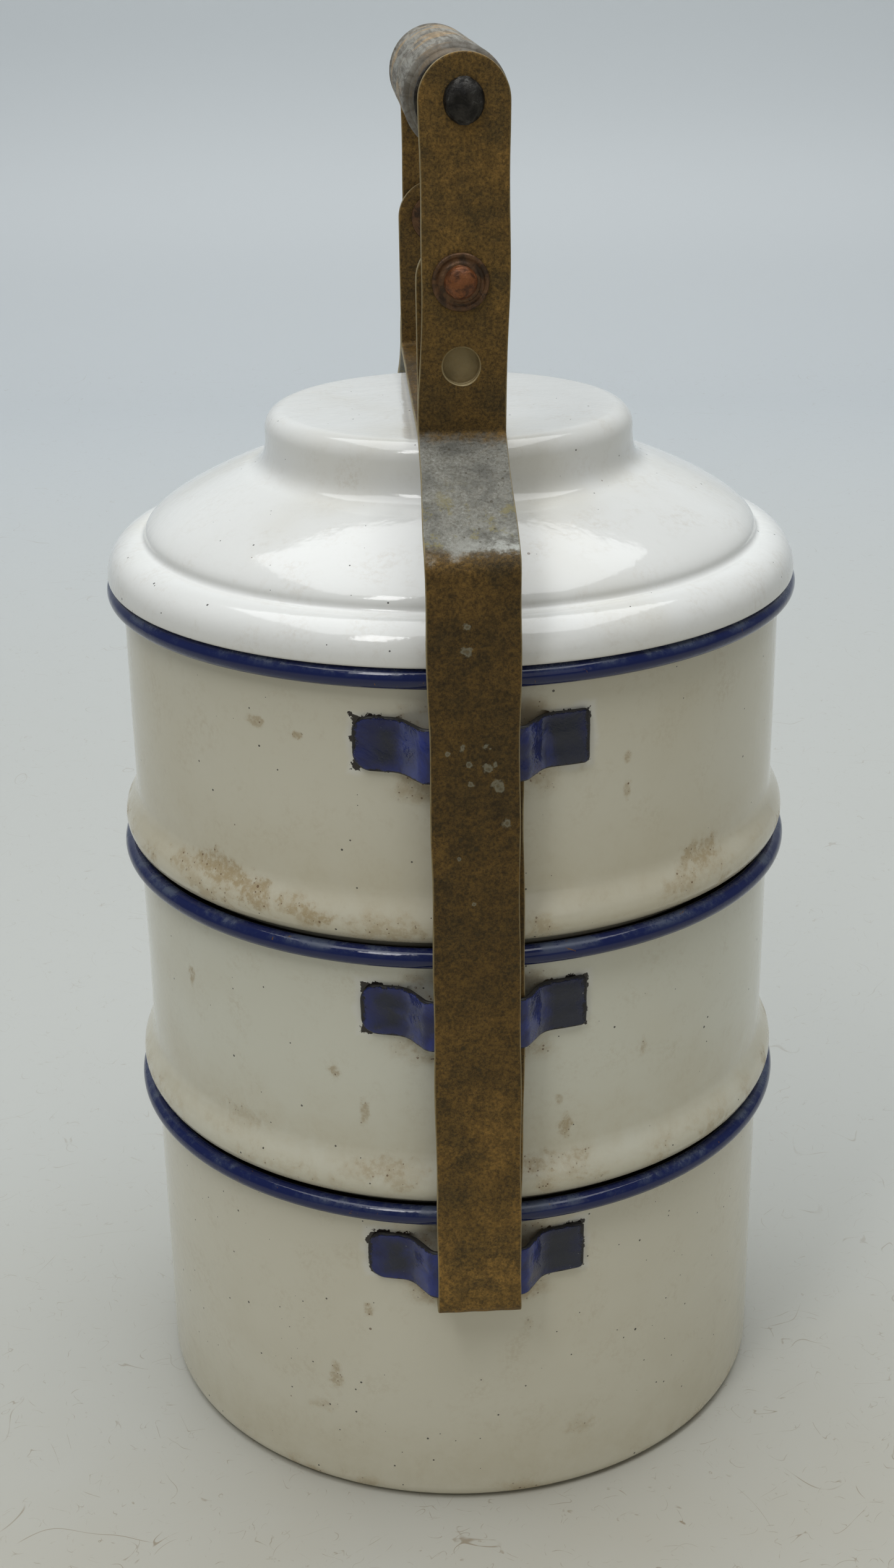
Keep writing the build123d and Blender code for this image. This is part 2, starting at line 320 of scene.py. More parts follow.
class Paint:
    """A node material on a Principled shader, built with short calls."""

    def __init__(self, name: str) -> None:
        """Start an empty material with its output and shader.

        Args:
            name: the material's name.
        """
        self.material = bpy.data.materials.new(name)
        self.material.use_nodes = True
        self.tree = self.material.node_tree
        self.tree.nodes.clear()
        output = self.tree.nodes.new("ShaderNodeOutputMaterial")
        self.shader = self.tree.nodes.new("ShaderNodeBsdfPrincipled")
        self.tree.links.new(self.shader.outputs["BSDF"], output.inputs["Surface"])
        texture = self.tree.nodes.new("ShaderNodeTexCoord")
        self.place: Socket = texture.outputs["Object"]
        self.strip: Socket = texture.outputs["UV"]

    def _feed(self, socket: Socket, value: object) -> None:
        """Link a socket, or set its own value.

        Args:
            socket: the input.
            value: a socket to link, a colour or a number.
        """
        if isinstance(value, bpy.types.NodeSocket):
            self.tree.links.new(value, socket)
        elif isinstance(value, tuple) and len(value) == 3 and socket.type == "RGBA":
            socket.default_value = (*value, 1.0)
        else:
            socket.default_value = value

    def set(self, **values: object) -> None:
        """Set inputs of the shader.

        Args:
            **values: numbers, colours or sockets by name, with underscores for spaces.
        """
        for key, value in values.items():
            self._feed(self.shader.inputs[key.replace("_", " ")], value)

    def math(self, operation: str, *values: object) -> Socket:
        """Return one math operation.

        Args:
            operation: the operation's name.
            values: the numbers or sockets that it takes.

        Returns:
            The result.
        """
        node = self.tree.nodes.new("ShaderNodeMath")
        node.operation = operation
        for socket, value in zip(node.inputs, values):
            self._feed(socket, value)
        return node.outputs[0]

    def plus(self, first: object, second: object) -> Socket:
        """Return first + second."""
        return self.math("ADD", first, second)

    def minus(self, first: object, second: object) -> Socket:
        """Return first - second."""
        return self.math("SUBTRACT", first, second)

    def times(self, *factors: object) -> Socket:
        """Return the product of two or more numbers or sockets."""
        return reduce(lambda total, factor: self.math("MULTIPLY", total, factor), factors)

    def times_plus(self, value: object, factor: object, added: object) -> Socket:
        """Return value * factor + added."""
        return self.math("MULTIPLY_ADD", value, factor, added)

    def most(self, *masks: Socket) -> Socket:
        """Return the largest of one or more masks."""
        return reduce(lambda total, mask: self.math("MAXIMUM", total, mask), masks)

    def apart(self, first: object, second: object) -> Socket:
        """Return how far two numbers are apart."""
        return self.math("ABSOLUTE", self.minus(first, second))

    def to_edge(self, share: Socket) -> Socket:
        """Return how far a share of a strip's width or length is from the nearer edge or end."""
        return self.math("MINIMUM", share, self.minus(1.0, share))

    def hypot(self, first: Socket, second: Socket) -> Socket:
        """Return the square root of first squared plus second squared."""
        return self.math("SQRT", self.plus(self.times(first, first), self.times(second, second)))

    def blend(self, share: Socket, first: Socket, second: Socket) -> Socket:
        """Return first + share * (second - first)."""
        return self.times_plus(share, self.minus(second, first), first)

    def vector(self, operation: str, *values: object) -> Socket:
        """Return one vector operation.

        Args:
            operation: the operation's name.
            values: the vectors that it takes.

        Returns:
            The resulting vector, or a number for a length.
        """
        node = self.tree.nodes.new("ShaderNodeVectorMath")
        node.operation = operation
        for socket, value in zip(node.inputs, values):
            self._feed(socket, value)
        return node.outputs["Value" if operation == "LENGTH" else "Vector"]

    def scaled(self, vector: Socket, factor: Socket) -> Socket:
        """Return a vector or colour multiplied by one number.

        Args:
            vector: the vector or colour.
            factor: the number.

        Returns:
            Their product.
        """
        node = self.tree.nodes.new("ShaderNodeVectorMath")
        node.operation = "SCALE"
        self._feed(node.inputs[0], vector)
        self._feed(node.inputs["Scale"], factor)
        return node.outputs["Vector"]

    def split(self, vector: Socket) -> tuple[Socket, Socket, Socket]:
        """Return a vector's three parts.

        Args:
            vector: the vector.

        Returns:
            Its X, Y and Z.
        """
        node = self.tree.nodes.new("ShaderNodeSeparateXYZ")
        self._feed(node.inputs[0], vector)
        return node.outputs[0], node.outputs[1], node.outputs[2]

    def noise(self, vector: Socket, scale: float, detail: float = 4.0, rough: float = 0.55,
              warp: float = 0.0) -> Socket:
        """Return fractal noise.

        Args:
            vector: the place.
            scale: features per metre.
            detail: octaves.
            rough: how strong the small features are.
            warp: how far the pattern is distorted.

        Returns:
            Noise between 0 and 1.
        """
        node = self.tree.nodes.new("ShaderNodeTexNoise")
        self._feed(node.inputs["Vector"], vector)
        node.inputs["Scale"].default_value = scale
        node.inputs["Detail"].default_value = detail
        node.inputs["Roughness"].default_value = rough
        node.inputs["Distortion"].default_value = warp
        return node.outputs["Fac"]

    def cells(self, vector: Socket, scale: float, feature: str = "F1") -> tuple[Socket, Socket]:
        """Return Voronoi cells.

        Args:
            vector: the place.
            scale: cells per metre.
            feature: which point the distance is to.

        Returns:
            The distance to the nearest point, in cells, and that cell's random colour.
        """
        node = self.tree.nodes.new("ShaderNodeTexVoronoi")
        node.feature = feature
        self._feed(node.inputs["Vector"], vector)
        node.inputs["Scale"].default_value = scale
        return node.outputs["Distance"], node.outputs["Color"]

    def step(self, value: Socket, low: float, high: float, to_low: float = 0.0,
             to_high: float = 1.0) -> Socket:
        """Return a smooth step.

        Args:
            value: the number to step.
            low: where the step starts; it may be above high.
            high: where the step ends.
            to_low: result before the start.
            to_high: result past the end.

        Returns:
            A number that eases from to_low to to_high as value goes from low to high.
        """
        node = self.tree.nodes.new("ShaderNodeMapRange")
        node.interpolation_type = "SMOOTHSTEP"
        if low > high:
            low, high, to_low, to_high = high, low, to_high, to_low
        for key, number in (("From Min", low), ("From Max", high), ("To Min", to_low), ("To Max", to_high)):
            node.inputs[key].default_value = number
        self._feed(node.inputs["Value"], value)
        return node.outputs["Result"]

    def mix(self, share: object, first: object, second: object) -> Socket:
        """Return a colour between two.

        Args:
            share: 0 for the first, 1 for the second.
            first: one colour.
            second: the other.

        Returns:
            The mixed colour.
        """
        node = self.tree.nodes.new("ShaderNodeMix")
        node.data_type = "RGBA"
        self._feed(node.inputs["Factor"], share)
        self._feed(node.inputs[6], first)
        self._feed(node.inputs[7], second)
        return node.outputs[2]

    def bump(self, height: Socket, depth: float) -> Socket:
        """Return a bumped normal.

        Args:
            height: the height of the bumps.
            depth: how many metres a height of 1 stands for.

        Returns:
            The normal.
        """
        node = self.tree.nodes.new("ShaderNodeBump")
        node.inputs["Distance"].default_value = depth
        self._feed(node.inputs["Height"], height)
        return node.outputs["Normal"]

    def specks(self, scale: float, size: float, share: float, shift: float = 0.0) -> Socket:
        """Return scattered small spots: 1 inside a spot.

        Args:
            scale: cells per metre.
            size: a spot's radius as a share of a cell.
            share: the share of cells that hold a spot.
            shift: moves the pattern, so that two sets differ.

        Returns:
            A mask.
        """
        place = self.vector("ADD", self.place, (shift, 2 * shift, -shift))
        distance, colour = self.cells(place, scale)
        chance, width, _ = self.split(colour)
        held = self.math("LESS_THAN", chance, share)
        reach = self.times_plus(width, size, 0.35 * size)
        return self.times(held, self.math("LESS_THAN", distance, reach))

    def patch(self, centre: Sequence[float], size: Sequence[float], grain: float = 330.0,
              ragged: float = 2.34, solid: float = 0.2) -> Socket:
        """Return a ragged stain: 1 at its middle, 0 outside.

        Args:
            centre: the stain's middle.
            size: its half size along X, Y and Z.
            grain: noise scale of its edge.
            ragged: how far the noise breaks the edge up.
            solid: how much of the middle is free of holes.

        Returns:
            A mask.
        """
        away = self.vector("SUBTRACT", self.place, tuple(centre))
        reach = self.vector("LENGTH", self.vector("DIVIDE", away, tuple(size)))
        noise = self.noise(self.place, grain, 5.0, 0.65)
        edge = self.times_plus(self.minus(noise, 0.5), ragged, reach)
        return self.step(edge, 1.0, solid)


# --- finishes -------------------------------------------------------------------


@dataclass(frozen=True)
class Stain:
    """A ragged stain on a white enamelled wall.

    Attributes:
        angle: degrees round the wall from the front, positive towards +X.
        z: height of its middle.
        size: half width and half height.
        strength: how dark it is, 0 to 1.
    """

    angle: float
    z: float
    size: tuple[float, float]
    strength: float = 0.6

    def centre(self, radius: float) -> tuple[float, float, float]:
        """Return the stain's middle on a wall of the given radius."""
        turn = math.radians(self.angle)
        return radius * math.sin(turn), -radius * math.cos(turn), self.z


@dataclass(frozen=True)
class Rim:
    """A rolled rim dipped in blue: the circle at the middle of its bead, and the bead's radius."""

    radius: float
    z: float
    bead: float


@dataclass(frozen=True)
class Wall:
    """What the layers of the white enamel share.

    Attributes:
        x: a point's X.
        z: its height.
        radial: its distance from the Z axis.
        cloud: a middling noise.
        fine: a fine noise.
    """

    x: Socket
    z: Socket
    radial: Socket
    cloud: Socket
    fine: Socket


@dataclass(frozen=True)
class WhiteEnamel:
    """Glossy cream enamel with grime, pinholes and stains, blue over a rolled rim.

    Attributes:
        radius: the wall's radius, which places the stains and the lugs.
        rim: the rolled rim that is dipped in blue, if there is one.
        stains: stains at known places.
        soil_z: height of a ledge that gathers soil, if there is one.
        lug_z: height of the middle of a pair of lugs, if there is one.
        lug_half: half length along the wall and half height of the lugs.
        speckle: the share of cells that hold a speck.
    """

    name: str
    white: Colour = (0.76, 0.755, 0.69)
    bare: Colour = (0.86, 0.86, 0.82)
    yellowed: Colour = (0.66, 0.60, 0.44)
    tan: Colour = (0.37, 0.240, 0.075)
    rust: Colour = (0.15, 0.072, 0.026)
    iron: Colour = (0.030, 0.024, 0.022)
    blue: Colour = (0.008, 0.016, 0.092)
    worn_blue: Colour = (0.090, 0.115, 0.175)
    radius: float = 0.0802
    rim: Optional[Rim] = None
    stains: tuple[Stain, ...] = ()
    soil_z: Optional[float] = None
    lug_z: Optional[float] = None
    lug_half: tuple[float, float] = (0.0263, 0.0063)
    speckle: float = 0.10

    def build(self) -> bpy.types.Material:
        """Build the material.

        Returns:
            Cream mottled by two noises; tan soil gathered in patches and under ledges,
            and tan painted shade beside the strap by the lugs, with rust where it is thickest;
            pinholes and iron specks; blue where a point is within the bead of the rim.
        """
        paint = Paint(self.name)
        x, y, z = paint.split(paint.place)
        wall = Wall(x, z, paint.hypot(x, y), paint.noise(paint.place, 95.0, 6.0, 0.65, 0.2),
                    paint.noise(paint.place, 760.0, 6.0, 0.7))
        broad = paint.noise(paint.place, 20.0, 3.0, 0.5)
        colour = paint.mix(paint.step(broad, 0.45, 0.75, 0.0, 0.35), self.white, self.yellowed)
        dusty = paint.times(paint.step(wall.cloud, 0.45, 0.75), paint.step(wall.fine, 0.42, 0.62), 0.16)
        colour = paint.mix(dusty, colour, self.tan)
        if self.soil_z is not None:
            foot = paint.step(paint.apart(z, self.soil_z), 0.030, 0.003, 0.0, 0.6)
            yellow = paint.times(foot, paint.step(wall.cloud, 0.25, 0.60, 0.5, 1.0))
            colour = paint.mix(yellow, colour, self.yellowed)
        grime = self.grime(paint, wall)
        if self.lug_z is not None:
            colour, grime = self.round_lugs(paint, wall, colour, grime)
        # On bowls with lugs the soil mask here also carries painted shade beside the strap.
        colour = paint.mix(paint.step(grime, 0.05, 0.95, 0.0, 0.62), colour, self.tan)
        colour = self.specked(paint, colour, grime)
        rough = paint.step(grime, 0.0, 0.6, 0.10, 0.5)
        orange_peel = paint.noise(paint.place, 330.0, 2.0, 0.5)
        height = paint.times_plus(paint.noise(paint.place, 60.0, 1.0, 0.4), 3.0, orange_peel)
        if self.rim:
            colour, rough = self.dip(paint, wall, colour, rough)
        paint.set(Base_Color=colour, Roughness=rough, IOR=1.52, Normal=paint.bump(height, 0.00006))
        return paint.material

    def grime(self, paint: Paint, wall: Wall) -> Socket:
        """Work out where soil gathers.

        Args:
            paint: the material.
            wall: what its layers share.

        Returns:
            The largest of a thin film by noise, the named stains and the ledge of the foot.
        """
        masks = [paint.times(paint.step(wall.cloud, 0.64, 0.80), 0.10)]
        for stain in self.stains:
            wide, high = stain.size
            patch = paint.patch(stain.centre(self.radius), (wide, 2 * wide, high))
            masks.append(paint.times(patch, paint.step(wall.fine, 0.30, 0.60, 0.45, 1.0), stain.strength))
        if self.soil_z is not None:
            band = paint.step(paint.apart(wall.z, self.soil_z), 0.008, 0.0)
            ragged = paint.step(paint.times_plus(wall.fine, 0.4, wall.cloud), 0.62, 0.86)
            masks.append(paint.times(band, ragged, 0.55))
        return paint.most(*masks)

    def specked(self, paint: Paint, colour: Socket, grime: Socket) -> Socket:
        """Speck the enamel.

        Args:
            paint: the material.
            colour: the colour so far.
            grime: the soil mask.

        Returns:
            The colour with rusty grit where soil lies, and rust and iron specks all over.
        """
        points = paint.most(paint.specks(980.0, 0.20, 0.55, 5.3), paint.specks(520.0, 0.16, 0.45, 6.1))
        gritty = paint.times(paint.step(grime, 0.18, 0.50), points, 0.75)
        colour = paint.mix(gritty, colour, self.rust)
        rusty = paint.specks(150.0, 0.055, 0.6 * self.speckle, 9.1)
        colour = paint.mix(paint.times(rusty, 0.7), colour, self.rust)
        pin = paint.specks(230.0, 0.060, self.speckle)
        dust = paint.specks(520.0, 0.11, 0.6 * self.speckle, 3.7)
        return paint.mix(paint.times(paint.most(pin, dust), 0.85), colour, self.iron)

    def round_lugs(self, paint: Paint, wall: Wall, colour: Socket, grime: Socket) -> tuple[Socket, Socket]:
        """Mark the enamel round the lugs: thick and clean, chipped to iron, and dirty and darkened with
        painted shade beside the strap.

        A point's distance outside the lug is taken on the unrolled wall, where
        the lug is a rectangle about the front or back line.

        Args:
            paint: the material.
            wall: what its layers share.
            colour: the colour so far.
            grime: the soil mask so far.

        Returns:
            The colour and the soil mask with the marks added; the mask also holds painted shade beside the
            strap.
        """
        turn = paint.math("ARCSINE", paint.math("DIVIDE", wall.x, wall.radial))
        along = paint.math("ABSOLUTE", paint.times(turn, self.radius))
        up = paint.minus(wall.z, self.lug_z)
        past_end = paint.minus(along, self.lug_half[0])
        past_edge = paint.minus(paint.math("ABSOLUTE", up), self.lug_half[1])
        outside = paint.most(past_end, past_edge)
        swollen = paint.times_plus(paint.noise(paint.place, 150.0, 2.0, 0.5), 0.0050, outside)
        thick = paint.times(paint.step(swollen, 0.0046, 0.0026), paint.step(along, 0.015, 0.025), 0.55)
        colour = paint.mix(thick, colour, self.bare)
        wobble = paint.times_plus(paint.noise(paint.place, 430.0, 4.0, 0.65), 0.0052, outside)
        chip = paint.times(paint.step(wobble, 0.00262, 0.00235), paint.step(along, 0.0135, 0.0165))
        colour = paint.mix(chip, colour, self.iron)
        # Tan band beside the strap between the bead and the lug: partly dirt, partly painted shade where the
        # strap shades the wall.
        near = paint.step(along, 0.024, 0.011)
        level = paint.times(paint.step(up, 0.0125, 0.0070), paint.step(up, -0.016, -0.011))
        streaky = paint.step(paint.times_plus(wall.fine, 0.35, wall.cloud), 0.46, 0.78, 0.15, 0.85)
        dirt_and_shade_by_strap = paint.times(paint.times(near, level), streaky)
        return colour, paint.most(grime, dirt_and_shade_by_strap)

    def dip(self, paint: Paint, wall: Wall, colour: Socket, rough: Socket) -> tuple[Socket, Socket]:
        """Lay blue enamel over the rolled rim, worn on top and nicked with rust.

        A point is blue where its distance to the bead's circle is under the
        bead's radius plus a ragged margin.

        Args:
            paint: the material.
            wall: what its layers share.
            colour: the colour so far.
            rough: the roughness so far.

        Returns:
            The colour and the roughness with the blue laid over.
        """
        rim = self.rim
        away_z = paint.minus(wall.z, rim.z)
        reach = paint.hypot(paint.minus(wall.radial, rim.radius), away_z)
        ragged = paint.noise(paint.place, 140.0, 3.0, 0.6)
        margin = paint.times_plus(ragged, -0.0012, paint.minus(reach, rim.bead))
        mask = paint.step(margin, 0.0, -0.00018)
        wear = paint.step(paint.noise(paint.place, 75.0, 6.0, 0.75), 0.44, 0.64, 0.0, 0.85)
        worn = paint.times(wear, paint.step(away_z, 0.1 * rim.bead, 0.9 * rim.bead))
        blue = paint.mix(worn, self.blue, self.worn_blue)
        nick = paint.step(paint.noise(paint.place, 300.0, 4.0, 0.65, 0.8), 0.67, 0.71)
        blue = paint.mix(nick, blue, self.rust)
        blue_rough = paint.step(worn, 0.0, 0.8, 0.09, 0.40)
        return paint.mix(mask, colour, blue), paint.blend(mask, rough, blue_rough)


@dataclass(frozen=True)
class BlueEnamel:
    """Thick blue enamel on the lugs: glossy, chipped to black iron at its edges."""

    name: str = "lug_blue"
    blue: Colour = (0.014, 0.032, 0.235)
    deep: Colour = (0.005, 0.010, 0.078)
    slate: Colour = (0.014, 0.018, 0.027)
    iron: Colour = (0.012, 0.010, 0.010)
    pale: Colour = (0.42, 0.42, 0.40)

    def build(self) -> bpy.types.Material:
        """Build the material.

        Returns:
            Slate on the pads where the strip's nearest edge is far, blue where it is near
            and on the slopes; iron chips on the very edge; a few pale scuffs.
        """
        paint = Paint(self.name)
        x, _, _ = paint.split(paint.place)
        along, across, _ = paint.split(paint.strip)
        tone = paint.noise(paint.place, 130.0, 5.0, 0.65, 0.4)
        grain = paint.noise(paint.place, 420.0, 5.0, 0.7)
        end = paint.to_edge(along)
        near = paint.math("MINIMUM", paint.times(paint.to_edge(across), 0.45), end)
        inner = paint.times_plus(tone, 0.34, near)
        on_pad = paint.step(paint.times_plus(tone, 0.10, end), 0.28, 0.17)
        right = paint.step(x, -0.012, 0.012, 0.0, 0.07)
        slate = paint.times(paint.step(paint.plus(inner, right), 0.18, 0.30, 0.0, 0.90), on_pad)
        colour = paint.mix(paint.step(tone, 0.35, 0.70), self.deep, self.blue)
        colour = paint.mix(slate, colour, self.slate)
        chip = paint.step(paint.times_plus(grain, -0.075, near), -0.016, -0.030)
        colour = paint.mix(chip, colour, self.iron)
        scuff = paint.step(paint.noise(paint.place, 560.0, 4.0, 0.7), 0.69, 0.75, 0.0, 0.75)
        colour = paint.mix(scuff, colour, self.pale)
        rough = paint.most(paint.step(slate, 0.0, 1.0, 0.08, 0.30), paint.times(chip, 0.5))
        height = paint.times_plus(chip, -1.5, paint.times(tone, 2.5))
        paint.set(Base_Color=colour, Roughness=rough, IOR=1.55, Normal=paint.bump(height, 0.00016))
        return paint.material


@dataclass(frozen=True)
class AgedBrass:
    """Old brass strip: brown tarnish, ochre wear, dark spots and pale verdigris.

    Attributes:
        tone: (height, strength) pairs: how light the brown is from the bottom up.
        grey_z: heights between which the strap is rubbed grey, over the lid.
        spots: (x, z, radius) of pale spots on the front.
    """

    name: str
    brown: Colour = (0.162, 0.094, 0.022)
    dark: Colour = (0.052, 0.039, 0.016)
    ochre: Colour = (0.31, 0.175, 0.042)
    bright: Colour = (0.46, 0.37, 0.20)
    khaki: Colour = (0.235, 0.205, 0.085)
    grey: Colour = (0.215, 0.215, 0.190)
    pale: Colour = (0.50, 0.51, 0.47)
    spot: Colour = (0.30, 0.29, 0.215)
    tone: tuple[tuple[float, float], ...] = ((0.270, 0.8), (0.320, 1.0))
    grey_z: Optional[tuple[float, float]] = None
    spots: tuple[tuple[float, float, float], ...] = ()

    def build(self) -> bpy.types.Material:
        """Build the material.

        Returns:
            Brown mottled by noises and scaled by height, rubbed grey over the lid with pale wear
            and a painted highlight at its lower bend, pitted, bright along its edges with wear and a
            painted edge highlight, and spotted with verdigris.
        """
        paint = Paint(self.name)
        x, _, z = paint.split(paint.place)
        mottle = paint.noise(paint.place, 120.0, 8.0, 0.74, 0.15)
        grit = paint.noise(paint.place, 1500.0, 5.0, 0.75)
        colour = self.shade(paint, self.tarnish(paint, mottle, grit), z)
        if self.grey_z:
            colour = self.rub(paint, colour, x, z, mottle, grit)
        pits = paint.most(paint.specks(260.0, 0.13, 0.16), paint.specks(620.0, 0.20, 0.16, 1.3))
        colour = paint.mix(paint.times(pits, 0.6), colour, self.dark)
        _, across, _ = paint.split(paint.strip)
        # Bright band along both edges of the strip: partly wear, partly a painted edge highlight.
        worn = paint.step(paint.times_plus(mottle, 0.030, paint.to_edge(across)), 0.034, 0.014, 0.0, 0.85)
        colour = self.spotted(paint, paint.mix(worn, colour, self.bright), x, z)
        rough = paint.step(grit, 0.3, 0.7, 0.36, 0.62)
        height = paint.times_plus(pits, -0.8, paint.times_plus(mottle, 2.2, grit))
        paint.set(Base_Color=colour, Roughness=rough, Metallic=0.45, Normal=paint.bump(height, 0.00016))
        return paint.material

    def tarnish(self, paint: Paint, mottle: Socket, grit: Socket) -> Socket:
        """Mottle the brass.

        Args:
            paint: the material.
            mottle: a middling noise.
            grit: a fine noise.

        Returns:
            Brown over dark, with ochre and dark patches, all scaled by grit and flecks.
        """
        blotch = paint.noise(paint.place, 48.0, 6.0, 0.66, 0.1)
        mixed = paint.times_plus(grit, 0.35, mottle)
        colour = paint.mix(paint.step(mixed, 0.42, 0.80, 0.30, 1.0), self.dark, self.brown)
        warm = paint.step(paint.times_plus(mottle, 0.7, blotch), 0.80, 1.08, 0.0, 0.5)
        colour = paint.mix(warm, colour, self.ochre)
        cloud = paint.noise(paint.vector("ADD", paint.place, (3.0, 1.0, 2.0)), 65.0, 6.0, 0.7)
        cold = paint.step(paint.times_plus(mottle, 0.6, cloud), 0.84, 1.02, 0.0, 0.42)
        colour = paint.mix(cold, colour, self.dark)
        fleck = paint.noise(paint.vector("ADD", paint.place, (5.0, 2.0, 4.0)), 430.0, 4.0, 0.65)
        colour = paint.scaled(colour, paint.step(grit, 0.32, 0.68, 0.50, 1.50))
        return paint.scaled(colour, paint.step(fleck, 0.34, 0.62, 0.82, 1.12))

    def shade(self, paint: Paint, colour: Socket, z: Socket) -> Socket:
        """Lighten and darken the strip by height.

        Args:
            paint: the material.
            colour: the colour so far.
            z: a point's height.

        Returns:
            The colour scaled by the tone, eased from one height to the next.
        """
        (low, first), (high, second) = self.tone[:2]
        gain = paint.step(z, low, high, first, second)
        for (low, first), (high, second) in zip(self.tone[1:], self.tone[2:]):
            gain = paint.plus(gain, paint.step(z, low, high, 0.0, second - first))
        return paint.scaled(colour, gain)

    def rub(self, paint: Paint, colour: Socket, x: Socket, z: Socket, mottle: Socket, grit: Socket) -> Socket:
        """Rub the stretch between two heights grey.

        Args:
            paint: the material.
            colour: the colour so far.
            x: a point's X.
            z: its height.
            mottle: a middling noise.
            grit: a fine noise.

        Returns:
            The colour with the grey, brass patches low down in it and pale wear with a painted highlight at
            its bend.
        """
        low, high = self.grey_z
        shift = paint.times_plus(paint.minus(mottle, 0.5), 0.010, z)
        above = paint.step(shift, low - 0.0012, low + 0.0012)
        below = paint.step(shift, high + 0.0012, high - 0.0012)
        grey = paint.mix(paint.step(grit, 0.36, 0.58, 0.45, 1.0), self.dark, self.grey)
        grey = paint.scaled(grey, paint.step(mottle, 0.36, 0.62, 0.72, 1.28))
        flecks = paint.times(paint.step(grit, 0.60, 0.66), paint.step(mottle, 0.42, 0.60), 0.7)
        grey = paint.mix(flecks, grey, self.pale)
        patch = paint.step(paint.noise(paint.place, 150.0, 7.0, 0.75, 0.2), 0.54, 0.60, 0.0, 0.7)
        low_half = paint.step(z, low + 0.012, low + 0.006)
        grey = paint.mix(paint.times(patch, low_half), grey, self.khaki)
        # Pale band on the convex lower bend, stronger towards +X: partly wear, partly a painted highlight.
        at_bend = paint.step(z, low + 0.005, low + 0.0005)
        one_end = paint.step(x, -0.006, 0.009, 0.15, 0.85)
        wear = paint.times(paint.step(mottle, 0.44, 0.58), at_bend, one_end)
        grey = paint.mix(wear, grey, self.pale)
        return paint.mix(paint.times(above, below, 0.95), colour, grey)

    def spotted(self, paint: Paint, colour: Socket, x: Socket, z: Socket) -> Socket:
        """Add the pale spots.

        Args:
            paint: the material.
            colour: the colour so far.
            x: a point's X.
            z: its height.

        Returns:
            The colour with the spots, each a disc in X and Z, ragged at its edge and duller inside.
        """
        torn = paint.noise(paint.place, 640.0, 3.0, 0.6)
        for spot_x, spot_z, radius in self.spots:
            reach = paint.hypot(paint.minus(x, spot_x), paint.minus(z, spot_z))
            ragged = paint.times_plus(paint.minus(torn, 0.5), 3.2 * radius, reach)
            ring = paint.step(ragged, 1.2 * radius, 0.55 * radius)
            hollow = paint.step(ragged, 0.0, 0.7 * radius, 0.30, 0.75)
            colour = paint.mix(paint.times(ring, hollow), colour, self.spot)
        return colour


@dataclass(frozen=True)
class HammeredMetal:
    """A hammered fastener: one metal colour, dark in its hollows, bright on its worn parts.

    Attributes:
        scale: noise scale of its tones, and nearly that of its dents.
    """

    name: str
    metal: Colour
    dark: Colour
    bright: Colour
    metallic: float
    scale: float = 420.0

    def build(self) -> bpy.types.Material:
        """Build the material.

        Returns:
            Three tones by noise over dents from Voronoi cells.
        """
        paint = Paint(self.name)
        tone = paint.noise(paint.place, self.scale, 5.0, 0.65, 0.5)
        grit = paint.noise(paint.place, 2600.0, 4.0, 0.7)
        colour = paint.mix(paint.step(tone, 0.36, 0.60), self.dark, self.metal)
        colour = paint.mix(paint.step(tone, 0.60, 0.78, 0.0, 0.8), colour, self.bright)
        colour = paint.mix(paint.step(grit, 0.52, 0.75, 0.0, 0.5), colour, self.dark)
        dents, _ = paint.cells(paint.place, 0.9 * self.scale, "SMOOTH_F1")
        height = paint.times_plus(dents, 2.0, paint.times(grit, 0.4))
        rough = paint.step(grit, 0.3, 0.75, 0.28, 0.58)
        paint.set(Base_Color=colour, Roughness=rough, Metallic=self.metallic,
                  Normal=paint.bump(height, 0.00025))
        return paint.material


@dataclass(frozen=True)
class TurnedWood:
    """A worn, grey-painted wooden roller with tan wood showing and dark ends.

    Attributes:
        end: half the roller's length, towards which it is sooty.
        drawn_out: factors that draw the grain out along Y.
    """

    name: str = "roller_wood"
    grey: Colour = (0.31, 0.295, 0.25)
    tan: Colour = (0.40, 0.265, 0.12)
    dark: Colour = (0.090, 0.075, 0.054)
    end: float = 0.0525
    drawn_out: tuple[float, float, float] = (1.0, 0.07, 1.0)

    def build(self) -> bpy.types.Material:
        """Build the material.

        Returns:
            Grain drawn out along Y, tan wear by noise, and soot towards both ends.
        """
        paint = Paint(self.name)
        _, y, _ = paint.split(paint.place)
        grain = paint.noise(paint.vector("MULTIPLY", paint.place, self.drawn_out), 620.0, 5.0, 0.65, 0.6)
        blot = paint.noise(paint.place, 70.0, 5.0, 0.65, 0.5)
        colour = paint.mix(paint.step(grain, 0.22, 0.72), self.dark, self.grey)
        colour = paint.mix(paint.step(blot, 0.50, 0.58, 0.0, 0.85), colour, self.tan)
        colour = paint.mix(paint.step(grain, 0.55, 0.35, 0.0, 0.45), colour, self.dark)
        soot = paint.step(paint.math("ABSOLUTE", y), 0.80 * self.end, 0.97 * self.end, 0.0, 0.75)
        colour = paint.mix(paint.times(soot, paint.step(blot, 0.35, 0.55, 0.5, 1.0)), colour, self.dark)
        rough = paint.step(grain, 0.3, 0.7, 0.66, 0.46)
        paint.set(Base_Color=colour, Roughness=rough, Normal=paint.bump(paint.plus(grain, blot), 0.00018))
        return paint.material


